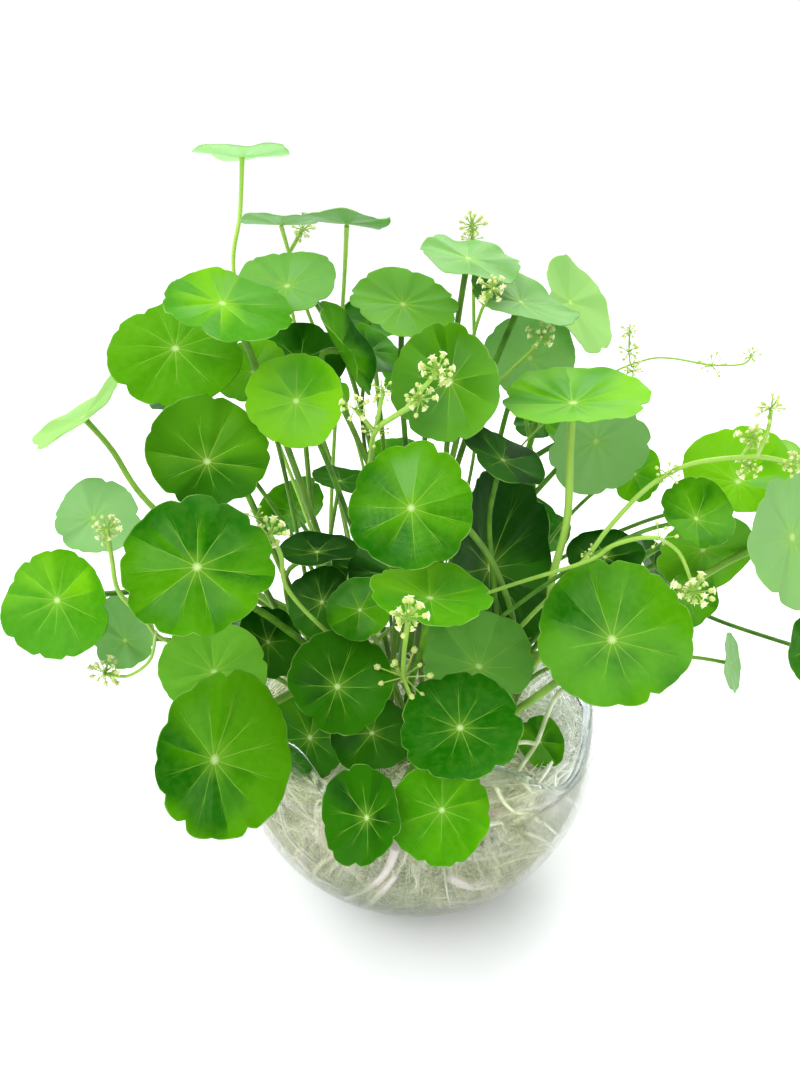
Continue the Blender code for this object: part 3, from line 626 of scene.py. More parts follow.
class Outline:
    """The smooth edge of a leaf: reach, angle, height and place in the lobes at each of its points."""

    def __init__(self, leaf, chance):
        self.leaf = leaf
        self.lobe = np.arange(leaf.lobes * POINTS_PER_LOBE) / POINTS_PER_LOBE
        at = 2 * self.lobe
        even = np.arange(len(leaf.angle)) * math.pi / leaf.lobes
        self.angle = at * math.pi / leaf.lobes + round_spline(leaf.angle - even, at)
        self.height = round_spline(leaf.height, at)
        full = leaf.reach.copy()
        full[0::2] /= 1 - PACKED_NOTCH
        full[1::2] *= 1 + LOBE_CHANCE * chance.uniform(-1, 1, leaf.lobes)
        nicks = NOTCH_DEPTH * chance.uniform(*NOTCH_CHANCE, leaf.lobes)
        nick = nicks[np.round(self.lobe).astype(int) % leaf.lobes]
        near_nick = np.abs(np.cos(math.pi * self.lobe)) ** NOTCH_SHARP
        self.reach = round_spline(full, at) * (1 - nick * near_nick)
        self.phase = chance.uniform(0, TURN, len(RIPPLES) + 1)

    def ring(self, share, drop=0.0):
        """The points of the blade at a share of the way to the edge, dropped below its upper face."""
        leaf, angle = self.leaf, self.angle
        ripple = sum(w * np.cos(n * angle + turn) for (n, w), turn in zip(RIPPLES, self.phase))
        fine = RIPPLE * ripple * share ** 2
        fine = fine + VEIN_SINK * np.cos(TURN * self.lobe) * 4 * share * (1 - share)
        fine = fine + FRILL * np.cos(TURN * self.lobe + self.phase[-1]) * share ** FRILL_POWER
        up = self.height * share ** DISH_POWER + fine * leaf.radius - drop
        way = np.cos(angle)[:, None] * leaf.level + np.sin(angle)[:, None] * leaf.along
        return leaf.hub + self.reach[:, None] * share * way + up[:, None] * leaf.normal


# %% Laying the rings of points
TOP_RINGS = (0.03, 0.07, 0.13, 0.21, 0.31, 0.42, 0.53, 0.64, 0.74, 0.83, 0.90, 0.955, 0.985, 1.0)
UNDER_RINGS = (1.0, 0.96, 0.86, 0.70, 0.50, 0.30, 0.12)
THICK_HUB = 0.8 * MM
THICK_EDGE = 0.25 * MM
ABOVE, UNDER = 0.0, 1.0


def blade_rows(outline):
    """The rings out over the upper face and back under it: share, points, and above or under."""
    rows = [(share, outline.ring(share), ABOVE) for share in TOP_RINGS]
    for share in UNDER_RINGS:
        thick = THICK_HUB + (THICK_EDGE - THICK_HUB) * share ** 0.5
        rows.append((share, outline.ring(share, thick), UNDER))
    return rows


def blade_faces(outline, shares):
    """The faces between the rings and round the two hubs, and the place of each corner on the map."""
    turns = len(outline.lobe)
    hub, last = len(shares) * turns, (len(shares) - 1) * turns
    faces, places = [], []
    for j in range(turns):
        k = (j + 1) % turns
        here, there = outline.lobe[j], outline.lobe[j] + 1 / POINTS_PER_LOBE
        faces.append((hub, j, k))
        places += [(here, 0), (here, shares[0]), (there, shares[0])]
        for i, (near, far) in enumerate(zip(shares[:-1], shares[1:])):
            low, high = i * turns, (i + 1) * turns
            faces.append((low + j, high + j, high + k, low + k))
            places += [(here, near), (here, far), (there, far), (there, near)]
        faces.append((hub + 1, last + k, last + j))
        places += [(here, 0), (there, shares[-1]), (here, shares[-1])]
    return faces, places


# %% The light on each leaf, and its mesh
# For each leaf: how much lighter it is in the photograph than others of its tone, partly its own green and
# partly painted light and shade; how much painted sheen lies on it; and how much painted glare pales it.
LEAF_LIGHT = {
    "leaf_01": (0.25, 0.5, 0.70), "leaf_02": (0.15, 0.2, 0.25), "leaf_03": (0.30, 0.1, 0.30),
    "leaf_04": (0.45, 0.2, 0.10), "leaf_05": (-0.14, 0.15, 0.0), "leaf_06": (0.30, -0.1, 0.0),
    "leaf_07": (0.10, 0.2, 0.20), "leaf_08": (0.85, 0.1, 0.05), "leaf_09": (0.20, 0.0, 0.15),
    "leaf_10": (0.10, 0.1, 0.10), "leaf_11": (0.25, -0.2, 0.25), "leaf_12": (-0.12, -0.2, 0.0),
    "leaf_14": (0.58, 0.25, 0.0), "leaf_15": (1.20, -0.3, 0.30), "leaf_16": (0.06, 0.3, 0.0),
    "leaf_17": (1.20, -0.4, 0.40), "leaf_19": (0.14, 0.1, 0.0), "leaf_22": (0.34, 0.0, 0.0),
    "leaf_23": (0.15, 0.2, 0.35), "leaf_24": (-0.28, -0.1, 0.0), "leaf_25": (0.30, 0.3, 0.20),
    "leaf_26": (-0.11, 0.0, 0.0), "leaf_27": (0.60, 0.3, 0.05), "leaf_29": (0.06, -0.1, 0.0),
    "leaf_30": (-0.07, 0.55, 0.0), "leaf_33": (-0.15, 0.0, 0.0), "leaf_35": (-0.12, -0.2, 0.0),
    "leaf_37": (0.25, 0.0, 0.0), "leaf_38": (0.20, -0.45, 0.0), "leaf_39": (-0.17, -0.2, 0.0),
    "leaf_40": (-0.17, -0.2, 0.0), "leaf_41": (0.10, -0.2, 0.0), "leaf_43": (0.02, -0.02, 0.0),
    "leaf_45": (0.14, 0.5, 0.0), "leaf_46": (0.90, 0.0, 0.0), "leaf_47": (0.60, 0.1, 0.35),
    "leaf_49": (0.10, 0.3, 0.30), "leaf_55": (0.35, 0.0, 0.0)}
NO_LIGHT = (0.0, 0.0, 0.0)
LIFT_CHANCE = 0.04
SEED_MOST = 50
SEED_STEP = 31


def chance_for(node, step=1, more=0):
    """A node's own random numbers, the same in each run."""
    return np.random.default_rng(sum(map(ord, node)) * step + more)


def blade_mesh(leaf, number):
    """One blade as a closed mesh, with a map of (place in the lobes, share of the way to the edge)."""
    chance = chance_for(leaf.node, SEED_STEP, number)
    outline = Outline(leaf, chance)
    rows = blade_rows(outline)
    points = np.vstack([row[1] for row in rows] + [leaf.hub, leaf.hub - THICK_HUB * leaf.normal])
    faces, places = blade_faces(outline, [row[0] for row in rows])
    mesh = bpy.data.meshes.new(leaf.node)
    mesh.from_pydata(points.tolist(), [], faces)
    mesh.uv_layers.new(name="lobes").uv.foreach_set("vector", np.array(places, np.float32).ravel())
    under = [np.full(len(outline.lobe), row[2]) for row in rows]
    write_numbers(mesh, "under", np.concatenate(under + [[ABOVE, UNDER]]))
    lift, mist, painted_glare = LEAF_LIGHT.get(leaf.node, NO_LIGHT)
    same_all_over = {"seed": chance.uniform(0, SEED_MOST),
                     "lift": lift + chance.uniform(-LIFT_CHANCE, LIFT_CHANCE),
                     "mist": mist,
                     "painted_glare": painted_glare}
    for name, value in same_all_over.items():
        write_numbers(mesh, name, np.full(len(points), value))
    mesh.shade_smooth()
    return mesh


# %% [markdown]
# ## The green of the blades
#
# The veins run from the hub to every lobe and fork before the edge. The blade's own map makes them easy:
# across a lobe the map runs from 0 to 1, so a vein is where its fraction is near one half. The blade is a
# little folded along its veins, and the light and shade of the folds is painted on: each sector between two
# veins is lighter or darker than the next. Patches of noise turn the green too, some as a painted whitish
# sheen, the hub is a pale spot, and some light comes through from behind.

# %% Veins on the map of a blade
# Widths are in reaches of the blade. A softness is where a line is full and where it ends, in widths. The
# other pairs are shares of the way to the edge.
LOBE_WIDTH = 0.6
VEIN_WIDTH = 0.0050
VEIN_NARROWS = (1.6, 1.1)
VEIN_SOFT, FORK_SOFT = (0.2, 1.5), (0.2, 1.4)
VEIN_FADES, VEIN_LUCK = (0.25, 0.62), 0.35
FORK_FROM, FORK_STARTS = 0.42, (0.0, 0.05)
FORK_FADES, FORK_LUCK = (0.48, 0.80), 0.20
FORK_SPREAD = 0.40
FORK_PALE = 0.35


def chance_of(finish, number):
    """A number from 0 to 1 that belongs to each whole number."""
    return finish.node("ShaderNodeTexWhiteNoise", {"noise_dimensions": "1D"}, {"W": number}, out="Value")


def soft_line(off, width, full, gone):
    """1 on a line and 0 beside it, where off is the distance from its middle."""
    return 1 - off.between(width * full, width * gone)


def vein_lines(finish, around, share, seed):
    """1 on a vein and 0 between: the main one of each lobe, and its two branches, each of its own length."""
    luck = chance_of(finish, around.call("FLOOR") + seed)
    side = (around.call("FRACT") - 0.5).call("ABSOLUTE")
    width = VEIN_WIDTH * (VEIN_NARROWS[0] - share * VEIN_NARROWS[1])
    main = soft_line(side * share * LOBE_WIDTH, width, *VEIN_SOFT)
    main = main * (1 - (share - luck * VEIN_LUCK).between(*VEIN_FADES))
    past_fork = share - FORK_FROM
    branch = (side - past_fork * FORK_SPREAD).call("ABSOLUTE") * share * LOBE_WIDTH
    fork = soft_line(branch, width, *FORK_SOFT) * past_fork.between(*FORK_STARTS)
    fork = fork * (1 - (share - luck * FORK_LUCK).between(*FORK_FADES)) * FORK_PALE
    return main.call("MAXIMUM", fork)


# %% Sectors between the veins
# A sector's chance numbers lie apart from those of other leaves, and from each other, by these steps
LEAF_STEP, SHEEN_STEP, NEXT_STEP = 3, 0.71, 0.37
SHEEN_CHANCE = (0.50, 0.85)
SHEEN_STARTS, SHEEN_ENDS = (0.08, 0.30), (0.62, 0.95)
FOLD_SHADE_STARTS, FOLD_SHADE_ENDS, FOLD_SHADE_LOSS = (0.04, 0.35), (0.70, 1.0), 0.6


def sector_sheen(finish, around, share, seed):
    """A painted whitish reflection of the sky on some of the folds."""
    sector = (around + 0.5).call("FLOOR") + seed * LEAF_STEP + SHEEN_STEP
    luck = chance_of(finish, sector)
    return luck.between(*SHEEN_CHANCE) * share.between(*SHEEN_STARTS) * (1 - share.between(*SHEEN_ENDS))


def sector_fold_shade(finish, around, share, seed):
    """Painted light and shade of the fold between two veins: from one chance number to another, with a step
    at a vein.
    """
    turned_on = around + 0.5
    sector = turned_on.call("FLOOR") + seed * LEAF_STEP
    low, high = chance_of(finish, sector), chance_of(finish, sector + NEXT_STEP)
    tone = low + (high - low) * turned_on.call("FRACT")
    return (tone - 0.5) * share.between(*FOLD_SHADE_STARTS) * (1 - share.between(*FOLD_SHADE_ENDS) * FOLD_SHADE_LOSS)


# %% The finish of each tone of leaf
# For each tone: its deep green and its light one, how much painted sheen lies on it, and how mottled it is.
# The tones are lit and shaded copies of one green: dark is painted shade, bright and pale are painted light.
LEAF_TONES = {
    "mid": ((0.010, 0.145, 0.0), (0.090, 0.365, 0.0), 0.28, 0.06),
    "dark": ((0.003, 0.060, 0.0), (0.024, 0.170, 0.0), 0.10, 0.015),
    "bright": ((0.060, 0.310, 0.0), (0.190, 0.540, 0.002), 0.25, 0.07),
    "grey": ((0.040, 0.225, 0.008), (0.145, 0.420, 0.060), 0.75, 0.07),
    "pale": ((0.180, 0.420, 0.030), (0.330, 0.620, 0.120), 0.45, 0.07),
}
VEIN_COLOUR = (0.38, 0.70, 0.08)
HUB_COLOUR = (0.66, 0.86, 0.34)
EDGE_COLOUR = (0.36, 0.64, 0.14)
SHEEN_COLOUR = (0.200, 0.480, 0.110)
SUNLIT_GREEN = (0.150, 0.480, 0.010)
GLARE_COLOUR = (0.580, 0.880, 0.480)
# Each noise has its waves per metre, and where needed the levels between which it shows
VEIN_WANDER_WAVES, VEIN_WANDER = 80, 0.22
CLOUD_WAVES, FOLD_SHADE_SHARE = 30, 0.30
LIGHT_LEVELS, SUNLIT_LEVELS = (0.37, 0.63), (0.72, 1.30)
SPECK_LEVELS = (0.35, 0.65)
MOTTLE_WAVES = 420
SHEEN_WAVES, SHEEN_LEVELS, SHEEN_SHARE, SHEEN_TURN = 21, (0.50, 0.68), 0.8, 9
EDGE_WAVES, EDGE_STARTS, EDGE_SHARE = 150, (0.982, 0.996), 0.8
HALO_ENDS, HALO_SHARE = (0.02, 0.34), 0.30
HUB_ENDS, HUB_SHARE = (0.02, 0.085), 0.9
VEIN_SHARE = 0.62
GLOSS_WAVES, ROUGH_LEAST, ROUGH_MORE = 120, 0.26, 0.25
SKIN_WAVES, SKIN_HIGH, VEIN_HIGH = 260, 0.4, -0.6
SKIN_STRENGTH, SKIN_DEPTH = 0.25, 0.4 * MM
THROUGH_SHARE, THROUGH_BRIGHT = 0.25, 1.5


def leaf_finish(tone):
    deep, light, sheen_amount, mottled = LEAF_TONES[tone]
    finish = Finish(f"leaf {tone}", Specular_IOR_Level=0.04)
    place, seed = finish.place(), finish.attribute("seed")
    on_map = finish.apart(finish.node("ShaderNodeUVMap", {"uv_map": "lobes"}))
    share = on_map.other("Y")
    around = on_map + (finish.noise(place, VEIN_WANDER_WAVES, turn=seed) - 0.5) * VEIN_WANDER
    veins = vein_lines(finish, around, share, seed)
    cloud = finish.noise(place, CLOUD_WAVES, detail=0.6, turn=seed, twist=0.5)
    # The painted light and shade of the folds
    fold_shade = sector_fold_shade(finish, around, share, seed) * FOLD_SHADE_SHARE
    # The lift is partly the leaf's own green and partly painted light and shade.
    lift = finish.attribute("lift")
    green = finish.mix((cloud + fold_shade + lift).between(*LIGHT_LEVELS), deep, light)
    # Painted sunlight: where the lift is highest the green turns to a sunlit one.
    green = finish.mix((cloud + fold_shade + lift).between(*SUNLIT_LEVELS), green, SUNLIT_GREEN)
    mottle = finish.noise(place, MOTTLE_WAVES, detail=3.0, turn=seed).between(*SPECK_LEVELS)
    green = finish.mix(mottle * mottled, green, VEIN_COLOUR)
    # Painted sheen: a whitish reflection of the sky, in patches and on some of the folds.
    mist = finish.noise(place, SHEEN_WAVES, detail=0.8, turn=seed + SHEEN_TURN, twist=0.8)
    mist = mist.between(*SHEEN_LEVELS) * SHEEN_SHARE
    mist = mist.call("MAXIMUM", sector_sheen(finish, around, share, seed))
    mist = mist * (finish.attribute("mist") + sheen_amount).call("MAXIMUM", 0.0)
    green = finish.mix(mist, green, SHEEN_COLOUR)
    # Painted glare: some leaves are paled towards white where strong light washes them out.
    green = finish.mix(finish.attribute("painted_glare"), green, GLARE_COLOUR)
    halo = (1 - share.between(*HALO_ENDS)) * HALO_SHARE
    green = finish.mix(veins * VEIN_SHARE, finish.mix(halo, green, VEIN_COLOUR), VEIN_COLOUR)
    green = finish.mix((1 - share.between(*HUB_ENDS)) * HUB_SHARE, green, HUB_COLOUR)
    edge = share.between(*EDGE_STARTS) * finish.noise(place, EDGE_WAVES, turn=seed).between(*SPECK_LEVELS)
    green = finish.mix(edge * EDGE_SHARE, green, EDGE_COLOUR)
    rough = finish.noise(place, GLOSS_WAVES, turn=seed) * ROUGH_MORE + ROUGH_LEAST
    finish.set(Base_Color=green, Roughness=rough)
    skin = veins * VEIN_HIGH + finish.noise(place, SKIN_WAVES, turn=seed) * SKIN_HIGH
    finish.bump(skin, SKIN_STRENGTH, SKIN_DEPTH)
    finish.lit_through(THROUGH_SHARE, tuple(0.5 * (a + b) * THROUGH_BRIGHT for a, b in zip(deep, light)))
    return finish.material


leaf_finishes = {tone: leaf_finish(tone) for tone in LEAF_TONES}
print("leaf finishes:", ", ".join(leaf_finishes))

# %% [markdown]
# ## The stalks
#
# A leaf stalk is a round, fleshy tube that follows a path, which is what Geometry Nodes does best: the path
# becomes a smooth curve, a circle is swept along it, and the tube widens a little where it meets the hub.
# The runner of a shoot and the stems of the flowers use the same tree.

# %% The stalk tree
FLARE_BETWEEN = (0.93, 1.0)


def wire_stalks(wires, given):
    """A tube along each line, as thick as its points say, and wider where up, the way along it, nears 1."""
    line = wires.node("GeometryNodeMeshToCurve", sockets={"Mesh": given("Geometry")})
    line = wires.node("GeometryNodeCurveSplineType", {"spline_type": "CATMULL_ROM"}, {"Curve": line})
    sockets = {"Curve": line, "Length": given("Step")}
    line = wires.node("GeometryNodeResampleCurve", {"mode": "LENGTH"}, sockets)
    flare = wires.read("up").between(*FLARE_BETWEEN) * given("Flare") + 1
    return wires.tube(line, given("Sides"), wires.read("thick") * flare)


stalk_tree = recipe("stalks", {"Step": 3 * MM, "Sides": 8, "Flare": 0.15}, wire_stalks)

# %% The finish of the stalks
STALK_STREAKS = 160
STREAK_LEVELS = (0.3, 0.7)
# Painted sunlight: the pale green that a stalk turns where it stands in the light
SUN_COLOUR = (0.40, 0.66, 0.10)
FOOT_COLOUR = (0.46, 0.58, 0.26)
FOOT_ENDS, FOOT_SHARE = (0.0, 0.25), 0.7


def stalk_finish(name, dark, light):
    """Streaky green, with painted sunlight where the mesh's shade says so, and pale at the foot."""
    finish = Finish(name, Roughness=0.40, Specular_IOR_Level=0.25)
    place = finish.place()
    streaks = finish.noise(place, STALK_STREAKS, detail=1.0)
    up = finish.attribute("up")
    green = finish.mix(streaks.between(*STREAK_LEVELS), dark, light)
    green = finish.mix(finish.attribute("shade"), green, SUN_COLOUR)
    green = finish.mix((1 - up.between(*FOOT_ENDS)) * FOOT_SHARE, green, FOOT_COLOUR)
    finish.set(Base_Color=green)
    finish.bump(streaks, 0.15, 0.3 * MM)
    return finish.material


stalk_green = stalk_finish("leaf stalk", (0.018, 0.105, 0.0), (0.075, 0.255, 0.002))
stalk_old = stalk_finish("old stalk", (0.45, 0.55, 0.25), (0.78, 0.85, 0.60))
print("stalk finishes:", stalk_green.name, "and", stalk_old.name)

# %% The stalks of a node
# How much painted sunlight pales a stalk where it stands in the light, and how thin it is against its solid
SUNLIT_STALKS = {"leaf_01": 1.0, "leaf_02": 0.9, "leaf_03": 0.9, "leaf_07": 0.55, "leaf_16": 0.85,
               "leaf_49": 0.4, "leaf_47": 0.4, "leaf_45": 0.3}
PLAIN_STALKS = (0.04, 0.34)
THIN_STALKS = {"leaf_01": 0.75, "leaf_02": 0.8, "leaf_03": 0.8, "leaf_43": 0.75}
STALK_SEED = 5


def stalk_mesh(leaves):
    """All the stalks of one node, from their packed lines."""
    node, lines = leaves[0].node, [leaf.line for leaf in leaves]
    plain = chance_for(node, more=STALK_SEED).uniform(*PLAIN_STALKS, len(leaves))
    thin = THIN_STALKS.get(node, 1)
    start = polyline(
        "stalk lines", lines,
        up=[np.linspace(0, 1, len(line)) for line in lines],
        thick=[np.full(len(leaf.line), leaf.stalk * thin) for leaf in leaves],
        shade=[np.full(len(line), SUNLIT_STALKS.get(node, shade)) for line, shade in zip(lines, plain)])
    return grow(stalk_tree, start, Material=stalk_green)


# %% Growing every single leaf
def tone_of_slot(leaf, number):
    """The tone that a single leaf's material slot names."""
    return slot_of[leaf.node].removeprefix("leaf_")


def grow_leaves(node, tone_of, others=()):
    """Dress all the leaves of a node, and what else it carries."""
    blades = []
    for number, leaf in enumerate(leaves_of[node]):
        blades.append(blade_mesh(leaf, number))
        blades[-1].materials.append(leaf_finishes[tone_of(leaf, number)])
    put_on_plant(f"{node}_grown", [*blades, stalk_mesh(leaves_of[node]), *others], slot_of[node], node)


single_leaves = [node for node in leaves_of if node.startswith("leaf_")]
for node in single_leaves:
    grow_leaves(node, tone_of_slot)
print("single leaves grown:", len(single_leaves))

# %% The tones of the leaves on the shoots
# The leaves of a shoot are known by the place in the picture where their hubs show, to within SAME_PLACE.
# A dark tone is painted shade on a leaf deep in the clump, and a bright or pale one painted light.
SHOOT_TONES = {
    (268, 642): "dark", (317, 552): "dark", (322, 602): "dark", (360, 610): "mid", (398, 575): "dark",
    (372, 733): "dark", (503, 460): "dark", (605, 557): "dark", (540, 742): "mid", (635, 474): "bright",
    (690, 598): "mid", (810, 650): "mid", (300, 360): "dark", (252, 372): "bright", (340, 481): "dark",
    (371, 351): "mid", (537, 424): "dark", (785, 470): "pale"}
SAME_PLACE = 12
HIDDEN_TONES = ("mid", "bright", "mid", "dark")


def shoot_tone(leaf, number):
    places = np.array(list(SHOOT_TONES))
    away = np.linalg.norm(places - np.array(leaf.place), axis=1)
    if away.min() < SAME_PLACE:
        return SHOOT_TONES[tuple(places[away.argmin()].tolist())]
    return HIDDEN_TONES[number % len(HIDDEN_TONES)]


# %% Growing the shoots
RUNNER_THICK = 2.0 * MM
RUNNER_PAST = 1.5 * MM
RUNNER_POINTS = 6
# An old, pale leaf stalk lies over the crown inside the lip, with the stump of another on it. Each place is
# (across, down, depth in mm).
OLD_STALK_ON = "shoot_03"
OLD_STALK = [(506, 790, -46), (520, 768, -47), (536, 744, -42), (546, 718, -37), (555, 698, -33),
             (569, 683, -29)]
OLD_STUMP = [(536, 744, -42), (526, 742, -43), (516, 743, -44)]
OLD_STALK_THICK = 0.85 * MM


def old_stalk():
    lines = [np.array([seen_at(*place) for place in places]) for places in (OLD_STALK, OLD_STUMP)]
    start = polyline("old stalk", lines, up=0.3, thick=OLD_STALK_THICK, shade=0.0)
    return grow(stalk_tree, start, Material=stalk_old, Step=2 * MM, Flare=0.0)


def runner_mesh(leaves):
    """The runner of a shoot, from a little beyond its first stalk to a little beyond its last."""
    feet = np.array([leaf.line[0] for leaf in leaves])
    first, last = feet[feet[:, 0].argmin()], feet[feet[:, 0].argmax()]
    past = (last - first) / max(np.linalg.norm(last - first), MM) * RUNNER_PAST
    line = np.linspace(first - past, last + past, RUNNER_POINTS)
    start = polyline("runner line", [line], up=0.1, thick=RUNNER_THICK)
    return grow(stalk_tree, start, Material=stalk_green, Sides=10)


shoots = [node for node in leaves_of if node.startswith("shoot_")]
for node in shoots:
    others = [runner_mesh(leaves_of[node])]
    if node == OLD_STALK_ON:
        others.append(old_stalk())
    grow_leaves(node, shoot_tone, others)
print("shoots grown:", len(shoots))

# %% [markdown]
# ## The flowers
#
# Pennywort flowers in little round umbels, set one above the other on a thin stem. Each umbel is a bunch of
# short rays with a star-shaped floret or a bud at the tip, so one ray is made once and repeated. The stems
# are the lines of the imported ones: the same places in the picture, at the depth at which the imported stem
# stands. Only the first one's top leans nearer, to stand in front of the leaf behind it.

# %% The places of the flower stems in the picture
# Each place is (across, down, depth in mm). A head adds its radius and what it bears.
FLOWER_STEMS = {
    "flower_stalk_01": {
        "stem": [(408, 620, -104), (406, 636, -98), (404, 654, -86), (404, 677, -76), (413, 703, -70),
                 (421, 722, -60)],
        "heads": [(408, 617, -104, 4.8, "open"), (404, 677, -76, 9.0, "rays")],
        "forks": []},
    "flower_stalk_02": {
        "stem": [(419, 402, -42), (395, 416, -40), (375, 432, -36), (370, 462, -30)],
        "heads": [(420, 400, -42, 4.4, "open"), (437, 371, -42, 4.4, "open"), (383, 391, -38, 3.6, "bud"),
                  (355, 409, -38, 3.6, "open"), (375, 432, -36, 4.0, "rays")],
        "forks": [[(404, 411, -41), (437, 372, -42)], [(375, 432, -36), (383, 392, -38)],
                  [(375, 432, -36), (355, 409, -38)]]},
    "flower_stalk_03": {
        "stem": [(794, 464, -33), (757, 457, -32), (700, 462, -30), (668, 474, -29), (639, 495, -29),
                 (607, 530, -30), (590, 553, -31), (562, 585, -30)],
        "heads": [(794, 464, -33, 3.8, "open"), (752, 438, -28, 4.0, "open"), (750, 467, -31, 3.6, "open"),
                  (668, 474, -29, 3.8, "bud"), (771, 408, -36, 3.8, "bud"), (590, 553, -31, 2.6, "bud")],
        "forks": [[(741, 458, -31), (752, 440, -28)], [(757, 457, -32), (768, 430, -35), (771, 410, -36)]]},
    "flower_stalk_04": {
        "stem": [(659, 538, -44), (640, 538, -42), (612, 546, -36), (585, 562, -30)],
        "heads": [(659, 538, -44, 5.2, "rays"), (694, 592, -44, 5.2, "open")],
        "forks": [[(659, 538, -44), (680, 554, -44), (694, 590, -44)]]},
    "flower_stalk_05": {
        "stem": [(751, 356, 36), (743, 364, 35), (712, 365, 33), (669, 358, 33), (642, 361, 34),
                 (602, 380, 35)],
        "heads": [(751, 356, 36, 3.4, "bud"), (712, 366, 33, 5.0, "rays"), (630, 331, 28, 2.8, "open"),
                  (629, 352, 29, 3.2, "open"), (633, 371, 27, 3.2, "bud")],
        "forks": [[(642, 361, 34), (632, 367, 28), (629, 352, 29), (630, 331, 28)]]},
    "flower_stalk_06": {
        "stem": [(472, 218, 62), (473, 250, 62), (474, 330, 58), (476, 430, 42)],
        "heads": [(472, 226, 62, 5.0, "open"), (472, 240, 62, 4.2, "rays"), (493, 288, 4, 4.6, "open"),
                  (541, 336, 16, 4.2, "open")],
        "forks": [[(476, 424, 43), (470, 380, 30), (472, 345, 16), (481, 312, 8), (492, 291, 4)],
                  [(475, 400, 47), (500, 380, 22), (530, 352, 16), (540, 339, 16)]]},
    "flower_stalk_07": {
        "stem": [(303, 228, 24), (296, 241, 24), (287, 262, 24), (290, 300, 24)],
        "heads": [(303, 230, 24, 4.0, "open")],
        "forks": []},
    "flower_stalk_08": {
        "stem": [(107, 528, -56), (112, 560, -56), (119, 592, -54), (145, 620, -50), (165, 640, -46)],
        "heads": [(107, 530, -56, 4.0, "open"), (105, 673, -48, 4.8, "open")],
        "forks": [[(156, 631, -48), (150, 660, -48), (128, 676, -48), (107, 674, -48)]]},
    "flower_stalk_09": {
        "stem": [(270, 534, -52), (281, 556, -50), (288, 590, -46)],
        "heads": [(270, 535, -52, 5.0, "open"), (256, 518, -52, 3.4, "rays")],
        "forks": []},
}
BEARS = ("open", "bud", "rays")

# %% One umbel, repeated by Geometry Nodes
# For each kind of head: what the rays bear, and between which chance numbers.
RAY_SHARE = {"open": [("open", 0.0, 0.34), ("bud", 0.34, 0.52)],
             "bud": [("bud", 0.0, 0.36), ("open", 0.36, 0.42)],
             "rays": [("rays", 0.0, 0.26)]}
# Sizes are in radii of the umbel, and the parts of a tip in sizes of the tip.
TIP_SIZE = {"open": 0.32, "bud": 0.27, "rays": 0.21}
RAY_THICK = {"open": 0.05, "bud": 0.05, "rays": 0.035}
TIP_TALL = 1.2
BUD_RADIUS = 0.6
STAR_DEPTH, STAR_RISE = 0.45, 0.25
PETAL_GAP, PETAL_LIFT = 0.66, 0.25
# The number that the colour is read from: 0 for green stalk, 1 for cream petal
RAY_TINT, SEED_TINT, BUD_TINT, STAR_TINT = 0.15, 0.45, 0.6, 1.0


def wire_floret(wires):
    """A little star of five petals round a raised middle."""
    sockets = {"Vertices": 10, "Radius Top": 0.0, "Radius Bottom": 1.0, "Depth": STAR_DEPTH}
    cone = wires.node("GeometryNodeMeshCone", {"fill_type": "TRIANGLE_FAN"}, sockets)
    number = wires.node("GeometryNodeInputIndex")
    between_petals = number.call("MODULO", 2.0)
    place = wires.node("GeometryNodeInputPosition")
    pull = 1 - between_petals * PETAL_GAP
    lift = (1 - between_petals) * place.vector("LENGTH", out=1) * PETAL_LIFT
    star = place.vector("MULTIPLY", wires.xyz(pull, pull, 1.0)).vector("ADD", wires.xyz(0.0, 0.0, lift))
    return wires.moved(cone, Position=star)


def changed(wires, shape, **how):
    """A shape that is moved by a Translation or stretched by a Scale."""
    return wires.node("GeometryNodeTransform", sockets={"Geometry": shape, **how})


def wire_ray(wires, bears):
    """One ray, from a distance of 1 below its tip, with a floret or a bud on the tip."""
    thick, size = RAY_THICK[bears], TIP_SIZE[bears]
    sockets = {"Vertices": 4, "Radius Top": thick, "Radius Bottom": thick, "Depth": 1.0}
    ray = changed(wires, wires.node("GeometryNodeMeshCone", sockets=sockets), Translation=(0, 0, -1))
    tip = wires.node("GeometryNodeMeshIcoSphere", sockets={"Radius": BUD_RADIUS, "Subdivisions": 1})
    tip = wires.store(tip, "petal", SEED_TINT if bears == "rays" else BUD_TINT)
    if bears == "open":
        star = changed(wires, wire_floret(wires), Translation=(0, 0, STAR_RISE))
        tip = wires.join(tip, wires.store(star, "petal", STAR_TINT))
    tip = changed(wires, tip, Scale=(size, size, size * TIP_TALL))
    return wires.join(wires.store(ray, "petal", RAY_TINT), tip)


# %% The umbel tree
RAY_SEED, LUCK_SEED = 12, 11


